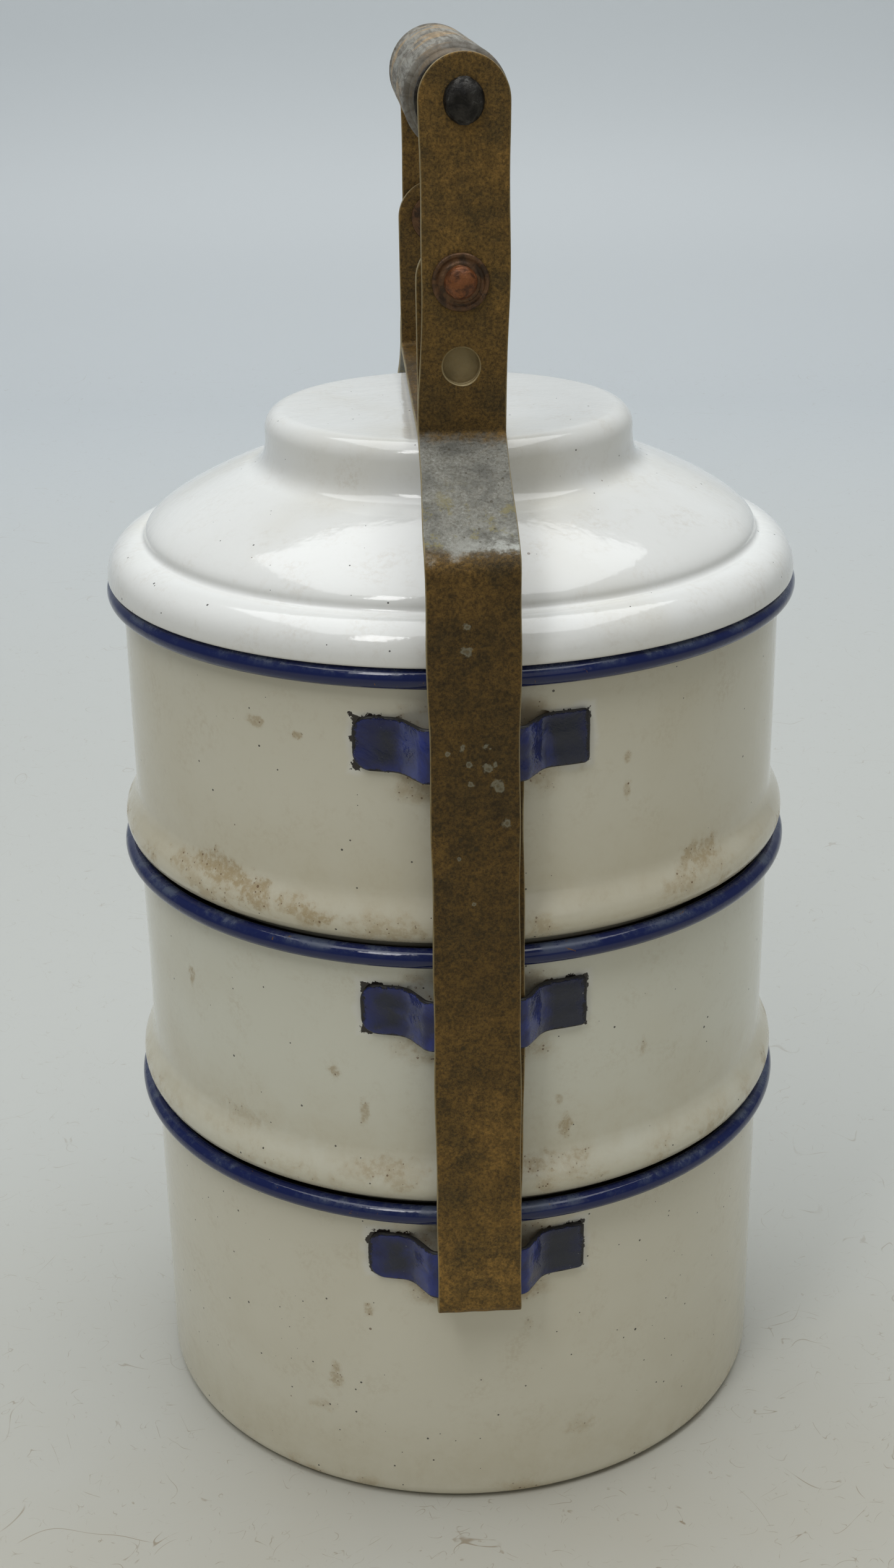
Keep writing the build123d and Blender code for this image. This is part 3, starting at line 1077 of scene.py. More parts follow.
@dataclass(frozen=True)
class ScratchedFloor:
    """Pale board under the carrier, covered with fine curved scratches.

    Attributes:
        scratches: noise scale, width and strength of each set of scratches.
    """

    name: str = "floor_board"
    pale: Colour = (0.60, 0.61, 0.58)
    warm: Colour = (0.53, 0.495, 0.40)
    mark: Colour = (0.27, 0.20, 0.12)
    wall: Colour = (0.63, 0.665, 0.685)
    scratches: tuple[tuple[float, float, float], ...] = (
        (30.0, 0.0045, 1.0), (13.0, 0.0028, 1.0), (55.0, 0.007, 0.9), (90.0, 0.009, 0.7))

    def build(self) -> bpy.types.Material:
        """Build the material.

        Returns:
            Pale board, warmer in front, with scratches where a warped noise crosses its
            middle value, and a smooth wall behind.
        """
        paint = Paint(self.name)
        _, y, z = paint.split(paint.place)
        cloud = paint.noise(paint.place, 7.0, 4.0, 0.6)
        near = paint.step(y, 0.12, -0.22)
        warm = paint.times(near, paint.step(cloud, 0.3, 0.7, 0.55, 1.0))
        colour = paint.mix(warm, self.pale, self.warm)
        colour = paint.mix(paint.step(y, 0.30, 1.30), colour, self.wall)
        low = paint.step(z, 0.03, 0.0)
        for scale, width, share in self.scratches:
            swirl = paint.noise(paint.place, scale, 1.0, 0.4, 2.2)
            hair = paint.step(paint.apart(swirl, 0.5), width, 0.2 * width)
            broken = paint.step(paint.noise(paint.place, 2.3 * scale, 3.0, 0.6), 0.53, 0.63)
            strength = paint.times(hair, broken, share, low, paint.times_plus(near, 0.60, 0.25))
            colour = paint.mix(strength, colour, self.mark)
        paint.set(Base_Color=colour, Roughness=0.42, IOR=1.4)
        return paint.material


# --- strips ---------------------------------------------------------------------


@dataclass(frozen=True)
class Strip:
    """A metal strip bent along a path, with rounded or square ends and eased edges.

    Attributes:
        path: centre line, points of shape (n, 2), evenly spaced.
        half_width: half width as a function of the distance along the path.
        thickness: thickness of the strip.
        ends: corner radius of the outline at each end.
        ease: radius of its eased edges.
        uneven: height of its hand-made unevenness.
        seed: seed of the unevenness.
        sway: sideways shift as a function of the distance along the path.
        columns: points across one face between the eased edges.
    """

    path: np.ndarray
    half_width: Callable[[np.ndarray], np.ndarray]
    thickness: float
    ends: tuple[float, float]
    ease: float = 0.00035
    uneven: float = 0.00006
    seed: int = 1
    sway: Optional[Callable[[np.ndarray], np.ndarray]] = None
    columns: int = 15

    def rows(self) -> tuple[np.ndarray, float]:
        """Space out the strip's rows.

        Returns:
            Distances along the path, closer together at both ends, and the path's length.
        """
        step = np.linalg.norm(np.diff(self.path, axis=0), axis=1)
        length = float(step.sum())
        bend = 1 - np.cos(np.linspace(0, math.pi / 2, 22))
        head = max(self.ends[0], 3 * self.ease) * bend
        tail = length - max(self.ends[1], 3 * self.ease) * bend[::-1]
        middle = np.linspace(head[-1], tail[0], max(8, int((tail[0] - head[-1]) / 0.0007)))
        return np.concatenate([head, middle[1:-1], tail]), length

    def grid(self) -> tuple[np.ndarray, np.ndarray]:
        """Work out the strip's surface.

        A row is a closed loop of points: across the outer face and back across
        the inner one. Each point stands off the centre line by half the
        thickness, less an eased edge that follows the distance to the outline,
        which is that of a rectangle with rounded ends.

        Returns:
            Points (rows, columns, 3) as (along path a, across, along path b), and their UV map.
        """
        s, length = self.rows()
        arcs = np.concatenate([[0], np.cumsum(np.linalg.norm(np.diff(self.path, axis=0), axis=1))])
        a, b = (np.interp(s, arcs, self.path[:, k]) for k in range(2))
        slope = np.stack([np.gradient(a, s), np.gradient(b, s)], 1)
        slope /= np.linalg.norm(slope, axis=1)[:, None]
        half = self.half_width(s)
        outline = half.copy()
        for radius, at in ((self.ends[0], s), (self.ends[1], length - s)):
            inside = np.clip(radius - at, 0, radius)
            outline = np.minimum(outline, half - radius + np.sqrt(radius**2 - inside**2))
        edge = 1 - np.cos(np.linspace(0, math.pi / 2, 6))
        share = np.concatenate([edge[:-1] * 0.05, np.linspace(0.05, 0.95, self.columns),
                                1 - edge[-2::-1] * 0.05])
        across = (2 * share - 1)[None, :] * outline[:, None]
        depth = self.depth(across, s[:, None], half[:, None], length)
        lift = self.ease - np.sqrt(self.ease**2 - np.clip(self.ease - depth, 0, self.ease) ** 2)
        bumpy = self.uneven * ripple(s[:, None] * 55.0, across * 160.0, self.seed)
        off = self.thickness / 2 - lift
        across_all = np.concatenate([across, across[:, ::-1]], 1)
        offset = np.concatenate([off + bumpy, (bumpy - off)[:, ::-1]], 1)
        if self.sway is not None:
            across_all = across_all + self.sway(s)[:, None]
        grid = np.stack([a[:, None] - slope[:, 1, None] * offset, across_all,
                         b[:, None] + slope[:, 0, None] * offset], -1)
        span = np.concatenate([share, share[::-1], share[:1]])
        uv = np.stack(np.broadcast_arrays((s / length)[:, None], span[None, :]), -1)
        return grid, uv

    def depth(self, across: np.ndarray, s: np.ndarray, half: np.ndarray, length: float) -> np.ndarray:
        """Work out how deep the strip's points lie inside its outline.

        Args:
            across: each point's place across the strip.
            s: its row's distance along the path.
            half: its row's half width.
            length: the path's length.

        Returns:
            Each point's distance to the nearer edge or to a rounded end's arc, whichever is less.
        """
        inside = half - np.abs(across)
        for radius, at in ((self.ends[0], s), (self.ends[1], length - s)):
            side, end = np.abs(across) - half + radius, radius - at
            corner = radius - np.hypot(np.clip(side, 0, None), np.clip(end, 0, None))
            corner -= np.minimum(np.maximum(side, end), 0)
            inside = np.minimum(inside, corner)
        return np.clip(inside, 0, None)


def joined(name: str, pieces: Sequence[bpy.types.Object]) -> bpy.types.Object:
    """Join pieces into one.

    Args:
        name: the new piece's name.
        pieces: the pieces, which are removed.

    Returns:
        The linked object that holds all their faces.
    """
    work = bmesh.new()
    for piece in pieces:
        work.from_mesh(piece.data)
    mesh = bpy.data.meshes.new(name)
    work.to_mesh(mesh)
    work.free()
    for piece in pieces:
        old = piece.data
        bpy.data.objects.remove(piece)
        bpy.data.meshes.remove(old)
    mesh.shade_smooth()
    mesh.set_sharp_from_angle(angle=math.radians(CREASE))
    whole = bpy.data.objects.new(name, mesh)
    bpy.context.collection.objects.link(whole)
    return whole


@dataclass(frozen=True)
class Dress:
    """What a finished piece belongs to: its body, its CAD node and its material slot, which is not used."""

    body: str
    node: str
    slot: str

    def put_on(self, piece: bpy.types.Object, material: bpy.types.Material) -> bpy.types.Object:
        """Give a piece its material and body, hide its CAD node, and report it.

        Args:
            piece: the finished piece.
            material: its material.

        Returns:
            The same piece.
        """
        piece.data.materials.clear()
        piece.data.materials.append(material)
        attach(piece, self.body)
        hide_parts(self.node)
        LOG.info("%s rides on %s: %d faces", piece.name, self.body, len(piece.data.polygons))
        return piece


# --- bowls ----------------------------------------------------------------------


class Tier(Enum):
    """A bowl of the stack, by its node's prefix and the body that it is on."""

    BOTTOM = ("bottom", "base")
    MIDDLE = ("middle", "middle_tier")
    TOP = ("top", "top_tier")

    @property
    def prefix(self) -> str:
        """The first word of the tier's node names."""
        return self.value[0]

    @property
    def body(self) -> str:
        """The CAD body that carries the tier."""
        return self.value[1]


@dataclass
class Bowl:
    """A sheet bowl with a rolled rim, and a foot that nests in the rim below unless it is the bottom one.

    Attributes:
        lug_drop: from the rim's bead down to the middle of the lugs.
        bead: the bead's radius.
        rim_radius: the bead's outer radius round the Z axis.
        neck: from the bead's middle down to where the wall starts to turn out to it.
        landing: where the wall meets the bead, in degrees round it.
        base_soil: height of the soil line of the bottom bowl.
        foot: outer radius of the foot's bulge.
        foot_taper: from the bulge's middle up to the wall.
        spigot: radius of the step under the foot that sits in the rim below.
        waviness: height of the wall's unevenness.
        rim_z: height of the bead's middle.
        foot_z: height of the foot's underside.
    """

    tier: Tier
    stains: tuple[Stain, ...] = ()
    lug_drop: float = 0.014
    speckle: float = 0.10
    white: Colour = (0.76, 0.73, 0.60)
    bead: float = 0.0023
    rim_radius: float = 0.0840
    wall: float = 0.0802
    sheet: float = 0.0009
    neck: float = 0.0034
    landing: float = -112.0
    base_corner: float = 0.0035
    base_soil: float = 0.001
    foot: float = 0.0832
    foot_round: float = 0.0050
    foot_taper: float = 0.0085
    spigot: float = 0.0780
    spigot_depth: float = 0.0025
    spigot_corner: float = 0.0020
    waviness: float = 0.00009
    segments: int = 320
    rim_z: float = field(init=False)
    foot_z: float = field(init=False)

    def __post_init__(self) -> None:
        """Take the bowl's heights from its CAD node."""
        low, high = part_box(f"{self.tier.prefix}_bowl")
        self.rim_z = high.z - self.bead
        self.foot_z = low.z + (0.0 if self.tier is Tier.BOTTOM else self.spigot_depth)

    def lower_outline(self, inward: float) -> list[np.ndarray]:
        """Work out the outline of the base.

        Args:
            inward: how far it is moved inward.

        Returns:
            Runs from the axis to the wall: a heel, or a spigot, a step, a bulge and a taper.
        """
        wall = self.wall - inward
        if self.tier is Tier.BOTTOM:
            heel = (self.wall - self.base_corner, self.base_corner)
            return [line((0, inward), (heel[0], inward), 24),
                    arc(heel, self.base_corner - inward, -90, 0, 14)]
        floor = self.foot_z - self.spigot_depth
        heel = (self.spigot - self.spigot_corner, floor + self.spigot_corner)
        side = self.spigot - inward
        bulge = (self.foot - self.foot_round, self.foot_z + self.foot_round)
        top = bulge[1] + self.foot_taper
        third = self.foot_taper * 0.42
        return [line((0, floor + inward), (heel[0], floor + inward), 24),
                arc(heel, self.spigot_corner - inward, -90, 0, 8),
                line((side, heel[1]), (side, self.foot_z + inward), 3),
                line((side, self.foot_z + inward), (bulge[0], self.foot_z + inward), 3),
                arc(bulge, self.foot_round - inward, -90, 0, 16),
                bezier([(self.foot - inward, bulge[1]), (self.foot - inward, bulge[1] + third),
                        (wall, top - third), (wall, top)], 18)]

    def outline(self) -> np.ndarray:
        """Work out the whole outline.

        Returns:
            Closed points: out and up the wall, round the bead, and down inside to the axis.
        """
        centre = self.rim_radius - self.bead
        z, r = self.rim_z, self.wall
        landing = math.radians(self.landing)
        touch = np.array([centre + self.bead * math.cos(landing), z + self.bead * math.sin(landing)])
        back = touch - 0.0004 * np.array([-math.sin(landing), math.cos(landing)])
        crease = bezier([(r, z - self.neck), (r, z - 0.0020), back, touch], 8)
        start_z = self.lower_outline(0)[-1][-1][1]
        outer = [*self.lower_outline(0), line((r, start_z), (r, z - self.neck), 44), crease,
                 arc((centre, z), self.bead, self.landing, 180, 34)]
        inner = self.lower_outline(self.sheet)
        inside_z = inner[-1][-1][1]
        down = line((r - self.sheet, z - 0.0004), (r - self.sheet, inside_z), 30)
        return join([*outer, down, *[run[::-1] for run in inner[::-1]]])

    def uneven(self, angle: np.ndarray, share: np.ndarray) -> np.ndarray:
        """Return the wall's slight waviness: ripple of angle and share of the outline."""
        return self.waviness * ripple(angle, share * 9.0, 11 + ord(self.tier.prefix[0]), 5)

    def build(self) -> bpy.types.Object:
        """Build the bowl and dress it.

        Returns:
            The bowl.
        """
        name = f"{self.tier.prefix}_bowl_enamel"
        bowl = grid_object(name, turned(self.outline(), self.segments, self.uneven), False, True)
        rim = Rim(self.rim_radius - self.bead, self.rim_z, self.bead)
        ledge = self.base_soil if self.tier is Tier.BOTTOM else self.foot_z + self.foot_round
        enamel = WhiteEnamel(name, white=self.white, rim=rim, stains=self.stains, soil_z=ledge,
                             lug_z=self.rim_z - self.lug_drop, speckle=self.speckle)
        return Dress(self.tier.body, f"{self.tier.prefix}_bowl", "white_enamel").put_on(bowl, enamel.build())


@dataclass
class Lug:
    """A strip lug: pads on the wall, slopes out, and a flat that stands off for the strap's prong.

    Attributes:
        paint: the enamel's material.
        wall: the bowl's outer radius.
        flat: half length of the flat.
        root: from the middle to where a slope reaches the wall.
        end: from the middle to a pad's end.
        corners: corner radii of the strip's two ends.
        bends: radii of its bends: where it leaves the wall, at the flat twice, and at the wall again.
        ease: radius of its eased edges.
        uneven: height of its unevenness.
        crease: faces that meet at more than this many degrees keep a sharp edge.
    """

    tier: Tier
    side: Side
    paint: bpy.types.Material
    thickness: float = 0.0012
    wall: float = 0.0802
    flat: float = 0.0106
    root: float = 0.0148
    end: float = 0.0257
    corners: tuple[float, float] = (0.0042, 0.0014)
    bends: tuple[float, float, float, float] = (0.0062, 0.0026, 0.0026, 0.0062)
    ease: float = 0.00050
    uneven: float = 0.00018
    crease: float = 60.0
    seed: int = 3

    def build(self) -> bpy.types.Object:
        """Build the lug from its centre line, drawn from above, and its CAD node's heights.

        The line runs from one pad's end to its root, out to the flat and back;
        points nearer the axis than the wall are moved out onto it.

        Returns:
            The lug.
        """
        node = f"{self.tier.prefix}_{self.side.name.lower()}_lug"
        low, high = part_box(node)
        out = max(abs(low.y), abs(high.y)) - self.thickness / 2
        on_wall = self.wall + self.thickness / 2
        root_out = math.sqrt(on_wall**2 - self.root**2)
        end_out = math.sqrt(on_wall**2 - self.end**2)
        half = [(self.end, end_out), (self.root + 0.0006, root_out), (self.flat + 0.0002, out)]
        corners = [(-x, y) for x, y in half] + half[::-1]
        centre = bent_path(corners, self.bends, 0.0005)
        radius = np.linalg.norm(centre, axis=1)
        centre *= (np.maximum(radius, on_wall) / radius)[:, None]
        height = (high.z - low.z) / 2
        strip = Strip(centre, lambda s: np.full_like(s, height), self.thickness, self.corners,
                      self.ease, self.uneven, self.seed)
        grid, uv = strip.grid()
        place = np.stack([grid[..., 0], -grid[..., 2], grid[..., 1] + (low.z + high.z) / 2], -1)
        lug = grid_object(f"{node}_enamel", moved(place, side_turn(self.side)), False, True, uv,
                          self.crease)
        return Dress(self.tier.body, node, "blue_enamel").put_on(lug, self.paint)


# --- lid ------------------------------------------------------------------------


@dataclass
class Lid:
    """The lid: a flat round knob, a dome, a valley, a rolled flange and the skirt inside the rim.

    Attributes:
        knob: the knob's radius.
        dome_start: radius and height of the dome's edge at the knob.
        dome_end: radius and height of its edge at the valley.
        valley: radius and height of the valley.
        flange: the flange's radius.
        hem_z: height of the flange's lower edge.
        skirt: the skirt's outer radius.
        waviness: height of the lid's unevenness.
    """

    sheet: float = 0.0009
    knob: float = 0.0441
    knob_round: float = 0.0047
    dome_start: tuple[float, float] = (0.0492, 0.2453)
    dome_end: tuple[float, float] = (0.0739, 0.2310)
    valley: tuple[float, float] = (0.0754, 0.2295)
    flange: float = 0.0835
    hem_z: float = 0.22015
    hem_round: float = 0.00065
    skirt: float = 0.0782
    white: Colour = (0.90, 0.905, 0.88)
    speckle: float = 0.12
    waviness: float = 0.00011
    segments: int = 320

    def top_outline(self, inward: float) -> list[np.ndarray]:
        """Work out the upper outline.

        Args:
            inward: how far it is moved inward.

        Returns:
            Runs from the axis to the hem: knob, its corner and side, dome, valley and flange.
        """
        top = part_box("lid")[1].z
        side = self.knob - inward
        corner = (self.knob - self.knob_round, top - self.knob_round)
        start = (self.dome_start[0] - 0.3 * inward, self.dome_start[1] - inward)
        end = (self.dome_end[0] - inward, self.dome_end[1])
        low = (self.valley[0], self.valley[1] - inward)
        edge = self.flange - inward
        rise = start[1] - end[1]
        drop = corner[1] - start[1]
        return [line((0, top - inward), (corner[0], top - inward), 26),
                arc(corner, self.knob_round - inward, 90, 0, 18),
                bezier([(side, corner[1]), (side, corner[1] - 0.72 * drop),
                        (start[0] - 0.0042, start[1] + 0.0011), start], 20),
                bezier([start, (start[0] + 0.005, start[1] - 0.0013),
                        (end[0], end[1] + 0.3 * rise), end], 34),
                bezier([end, (end[0], end[1] - 0.0009), (low[0] - 0.0008, low[1]), low], 9),
                bezier([low, (low[0] + 0.003, low[1]), (edge, self.valley[1] - 0.002),
                        (edge, self.hem_z + max(self.hem_round, inward))], 26)]

    def outline(self) -> np.ndarray:
        """Work out the whole outline.

        Returns:
            Closed points: over the top, round the hem, down the skirt and back underneath.
        """
        hem = (self.flange - self.hem_round, self.hem_z + self.hem_round)
        skirt_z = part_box("lid")[0].z
        inner, under_z = self.skirt - self.sheet, self.hem_z + self.sheet
        under = [arc(hem, self.hem_round, 0, -90, 7),
                 line((hem[0], self.hem_z), (self.skirt, self.hem_z), 4),
                 line((self.skirt, self.hem_z), (self.skirt, skirt_z), 4),
                 line((inner, skirt_z), (inner, under_z), 4),
                 line((inner, under_z), (self.flange - self.sheet, under_z), 4)]
        back = [run[::-1] for run in self.top_outline(self.sheet)[::-1]]
        return join([*self.top_outline(0), *under, *back])

    def uneven(self, angle: np.ndarray, share: np.ndarray) -> np.ndarray:
        """Return the lid's slight waviness: ripple of angle and share of the outline."""
        return self.waviness * ripple(angle, share * 11.0, 29, 5)

    def build(self) -> bpy.types.Object:
        """Build the lid and dress it.

        Returns:
            The lid.
        """
        lid = grid_object("lid_enamel", turned(self.outline(), self.segments, self.uneven), False, True)
        enamel = WhiteEnamel("lid_enamel", white=self.white, speckle=self.speckle)
        return Dress("lid", "lid", "white_enamel").put_on(lid, enamel.build())


# --- carrying frame -------------------------------------------------------------


@dataclass
class Strap:
    """A brass strap: round top at the grip, two bends over the lid, leg, fold and inner prong.

    Attributes:
        brass: the strap's material.
        upper_out: outer face of its upper run.
        bends_z: heights of its two bends.
        fold_gap: clear gap inside the fold at the bottom.
        prong_top: height at which the inner prong ends.
        end_radius: radius of its round top.
        lock_z: height of the lock hole.
        prong_skew: how far the prong's top stands to one side.
        lean: how far the upper run leans to +X.
        widths: (height, half width) pairs from the bottom up.
    """

    side: Side
    brass: bpy.types.Material
    thickness: float = 0.0016
    upper_out: float = 0.0560
    bends_z: tuple[float, float] = (0.2636, 0.2446)
    bend_radii: tuple[float, float] = (0.0020, 0.0050)
    fold_gap: float = 0.0020
    prong_top: float = 0.2000
    end_radius: float = 0.0095
    lock_z: float = 0.2784
    lock_radius: float = 0.00395
    prong_skew: float = 0.0012
    lean: float = 0.0012
    widths: tuple[tuple[float, float], ...] = (
        (0.0618, 0.0098), (0.2075, 0.0095), (0.2275, 0.0100), (0.2446, 0.0100), (0.2636, 0.00935),
        (0.3220, 0.00935), (0.3340, 0.0095))

    def centre_line(self) -> np.ndarray:
        """Work out the centre line.

        Returns:
            Points (out, z): straight runs, the two bends, the half-round fold and the prong.
        """
        low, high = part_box(f"{self.side.name.lower()}_strap")
        half = self.thickness / 2
        upper = self.upper_out - half
        leg = max(abs(low.y), abs(high.y)) - half
        fold = (self.fold_gap + self.thickness) / 2
        fold_z = low.z + half + fold
        corners = [(upper, high.z), (upper, self.bends_z[0]), (leg, self.bends_z[1]), (leg, fold_z)]
        return join([bent_path(corners, self.bend_radii, 0.0005),
                     arc((leg - fold, fold_z), fold, 0, -180, 26),
                     line((leg - 2 * fold, fold_z), (leg - 2 * fold, self.prong_top), 180)])

    def build(self) -> bpy.types.Object:
        """Build the strap, drill its lock hole and dress it.

        Returns:
            The strap.
        """
        path = self.centre_line()
        along = np.concatenate([[0], np.cumsum(np.linalg.norm(np.diff(path, axis=0), axis=1))])
        height, width = np.array(self.widths).T
        fold_at = along[np.argmin(path[:, 1])]

        def half_width(s: np.ndarray) -> np.ndarray:
            """Work out the strap's half width.

            Args:
                s: distances along the strip.

            Returns:
                The width of the height that the strip has reached, with a slight wave.
            """
            wave = 0.00010 * np.sin(s * 190.0) + 0.00007 * np.sin(s * 83.0 + 1.0)
            edge = np.clip(s / 0.02, 0, 1) * np.clip((along[-1] - s) / 0.01, 0, 1)
            return np.interp(np.interp(s, along, path[:, 1]), height, width) + wave * edge

        def sway(s: np.ndarray) -> np.ndarray:
            """Work out the sideways lean.

            Args:
                s: distances along the strip.

            Returns:
                The upper run's smooth lean to +X, and the prong's from the fold to its top.
            """
            height_at = np.interp(s, along, path[:, 1])
            upper = np.clip((height_at - self.bends_z[0]) / 0.035, 0, 1)
            to_right = 1.0 if self.side is Side.FRONT else -1.0
            prong = self.prong_skew * np.clip((s - fold_at) / 0.06, 0, 1) ** 1.5
            return to_right * self.lean * upper**2 * (3 - 2 * upper) + prong

        strip = Strip(path, half_width, self.thickness, (self.end_radius, 0.0020), 0.00035, 0.00007,
                      5 + (self.side is Side.BACK), sway)
        grid, uv = strip.grid()
        place = np.stack([grid[..., 1], -grid[..., 0], grid[..., 2]], -1)
        node = f"{self.side.name.lower()}_strap"
        strap = grid_object(f"{node}_brass", moved(place, side_turn(self.side)), False, True, uv)
        cut(strap, [hole_cutter(self.lock_radius, self.upper_out - self.thickness / 2, self.lock_z,
                                self.thickness, self.side)])
        return Dress("frame", node, "aged_brass").put_on(strap, self.brass)


@dataclass
class Yoke:
    """The U-shaped yoke on the pivots, whose bridge lies over the lid's knob.

    Attributes:
        brass: the yoke's material.
        bend: radius of its two bends.
        half: its half width, and the radius of its round ends.
        lock_z: height of the lock holes.
    """

    brass: bpy.types.Material
    thickness: float = 0.0015
    bend: float = 0.00225
    half: float = 0.00935
    lock_z: float = 0.2784
    lock_radius: float = 0.00395

    def build(self) -> bpy.types.Object:
        """Build the yoke, drill its lock holes and dress it.

        Returns:
            The yoke.
        """
        low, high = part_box("yoke")
        leg, floor = high.y - self.thickness / 2, low.z + self.thickness / 2
        corners = [(-leg, high.z), (-leg, floor), (leg, floor), (leg, high.z)]
        path = bent_path(corners, [self.bend, self.bend], 0.0005)
        strip = Strip(path, lambda s: np.full_like(s, self.half), self.thickness, (self.half, self.half),
                      0.00035, 0.00006, 8)
        grid, uv = strip.grid()
        place = np.stack([grid[..., 1], grid[..., 0], grid[..., 2]], -1)
        yoke = grid_object("yoke_brass", place, False, True, uv)
        cut(yoke, [hole_cutter(self.lock_radius, leg, self.lock_z, self.thickness, side) for side in Side])
        return Dress("yoke", "yoke", "aged_brass").put_on(yoke, self.brass)


@dataclass
class Pivots:
    """The two copper rivets that the yoke swings on, with their washers.

    Attributes:
        pivot_z: height of the rivets.
        upper_out: outer face of the straps.
        inner_out: inner face of the yoke's legs.
        washer: the washers' radius.
        washer_t: their thickness.
        groove: depth of the ring pressed into them.
        head: radius of the rivets' heads.
        head_h: height of the outer head.
        tail_h: height of the inner head.
        tail_side: height of the handle that shapes the inner head's side.
        lap: how far the heads sink into the washers.
    """

    pivot_z: float = 0.2960
    upper_out: float = 0.0560
    inner_out: float = 0.05245
    washer: float = 0.00605
    washer_t: float = 0.0010
    shank: float = 0.0025
    head: float = 0.00345
    head_h: float = 0.0022
    tail_h: float = 0.0018
    tail_side: float = 0.0011
    groove: float = 0.00042
    lap: float = 0.0001

    def place(self, side: Side) -> Matrix:
        """Return the matrix that lays a turned piece along Y at the pivot, its +Z facing out."""
        return (side_turn(side) @ Matrix.Translation((0, 0, self.pivot_z))
                @ Matrix.Rotation(math.pi / 2, 4, "X"))

    def rivet(self, side: Side) -> bpy.types.Object:
        """Build one rivet.

        Args:
            side: the side it stands on.

        Returns:
            A turned piece: a domed head outside, the shank and a lower dome inside.
        """
        face, back, lap = self.upper_out + self.washer_t, self.inner_out - self.washer_t, self.lap
        dome = bezier([(0, face + self.head_h), (0.62 * self.head, face + self.head_h),
                       (self.head, face + 0.62 * self.head_h), (self.head, face - lap)], 20)
        low = bezier([(self.head, back + lap), (self.head, back - self.tail_side),
                      (0.6 * self.head, back - self.tail_h), (0, back - self.tail_h)], 16)
        profile = join([dome, line((self.shank, face - lap), (self.shank, back + lap), 6), low])
        seed = 40 + (side is Side.BACK)
        grid = turned(profile, 72, lambda angle, share: 0.00013 * ripple(angle * 2, share * 14, seed))
        return grid_object("rivet", moved(grid, self.place(side)), False, True)

    def ring(self, side: Side, low: float, high: float) -> bpy.types.Object:
        """Build one washer.

        Args:
            side: the side it stands on.
            low: its inner face, from the Z axis.
            high: its outer face.

        Returns:
            A turned ring: rounded outer edge, and a shallow groove between its rim and the head.
        """
        r, ease, bottom, seat = self.washer, 0.00040, high - self.groove, high - self.lap
        profile = join([line((self.shank, low), (r - ease, low), 8),
                        arc((r - ease, low + ease), ease, -90, 0, 7),
                        arc((r - ease, high - ease), ease, 0, 90, 7),
                        bezier([(r - ease, high), (r - 0.0010, high), (r - 0.0010, bottom),
                                (r - 0.0015, bottom)], 8),
                        bezier([(r - 0.0015, bottom), (r - 0.0019, bottom), (r - 0.0018, seat),
                                (self.head, seat)], 8),
                        line((self.head, seat), (self.shank, seat), 3)])
        grid = turned(profile, 96, lambda angle, share: 0.00008 * ripple(angle, share * 6, 50))
        return grid_object("ring", moved(grid, self.place(side)), True, True)

    def build(self, copper: bpy.types.Material, ring: bpy.types.Material) -> None:
        """Build the rivets and washers and dress them.

        Args:
            copper: the rivets' material.
            ring: the washers' material.
        """
        rivets = joined("pivot_rivets_copper", [self.rivet(side) for side in Side])
        Dress("frame", "pivot_rivets", "copper").put_on(rivets, copper)
        outer = [self.ring(side, self.upper_out, self.upper_out + self.washer_t) for side in Side]
        inner = [self.ring(side, self.inner_out - self.washer_t, self.inner_out) for side in Side]
        washers = joined("pivot_washers_copper", outer + inner)
        Dress("frame", "pivot_washers", "copper").put_on(washers, ring)


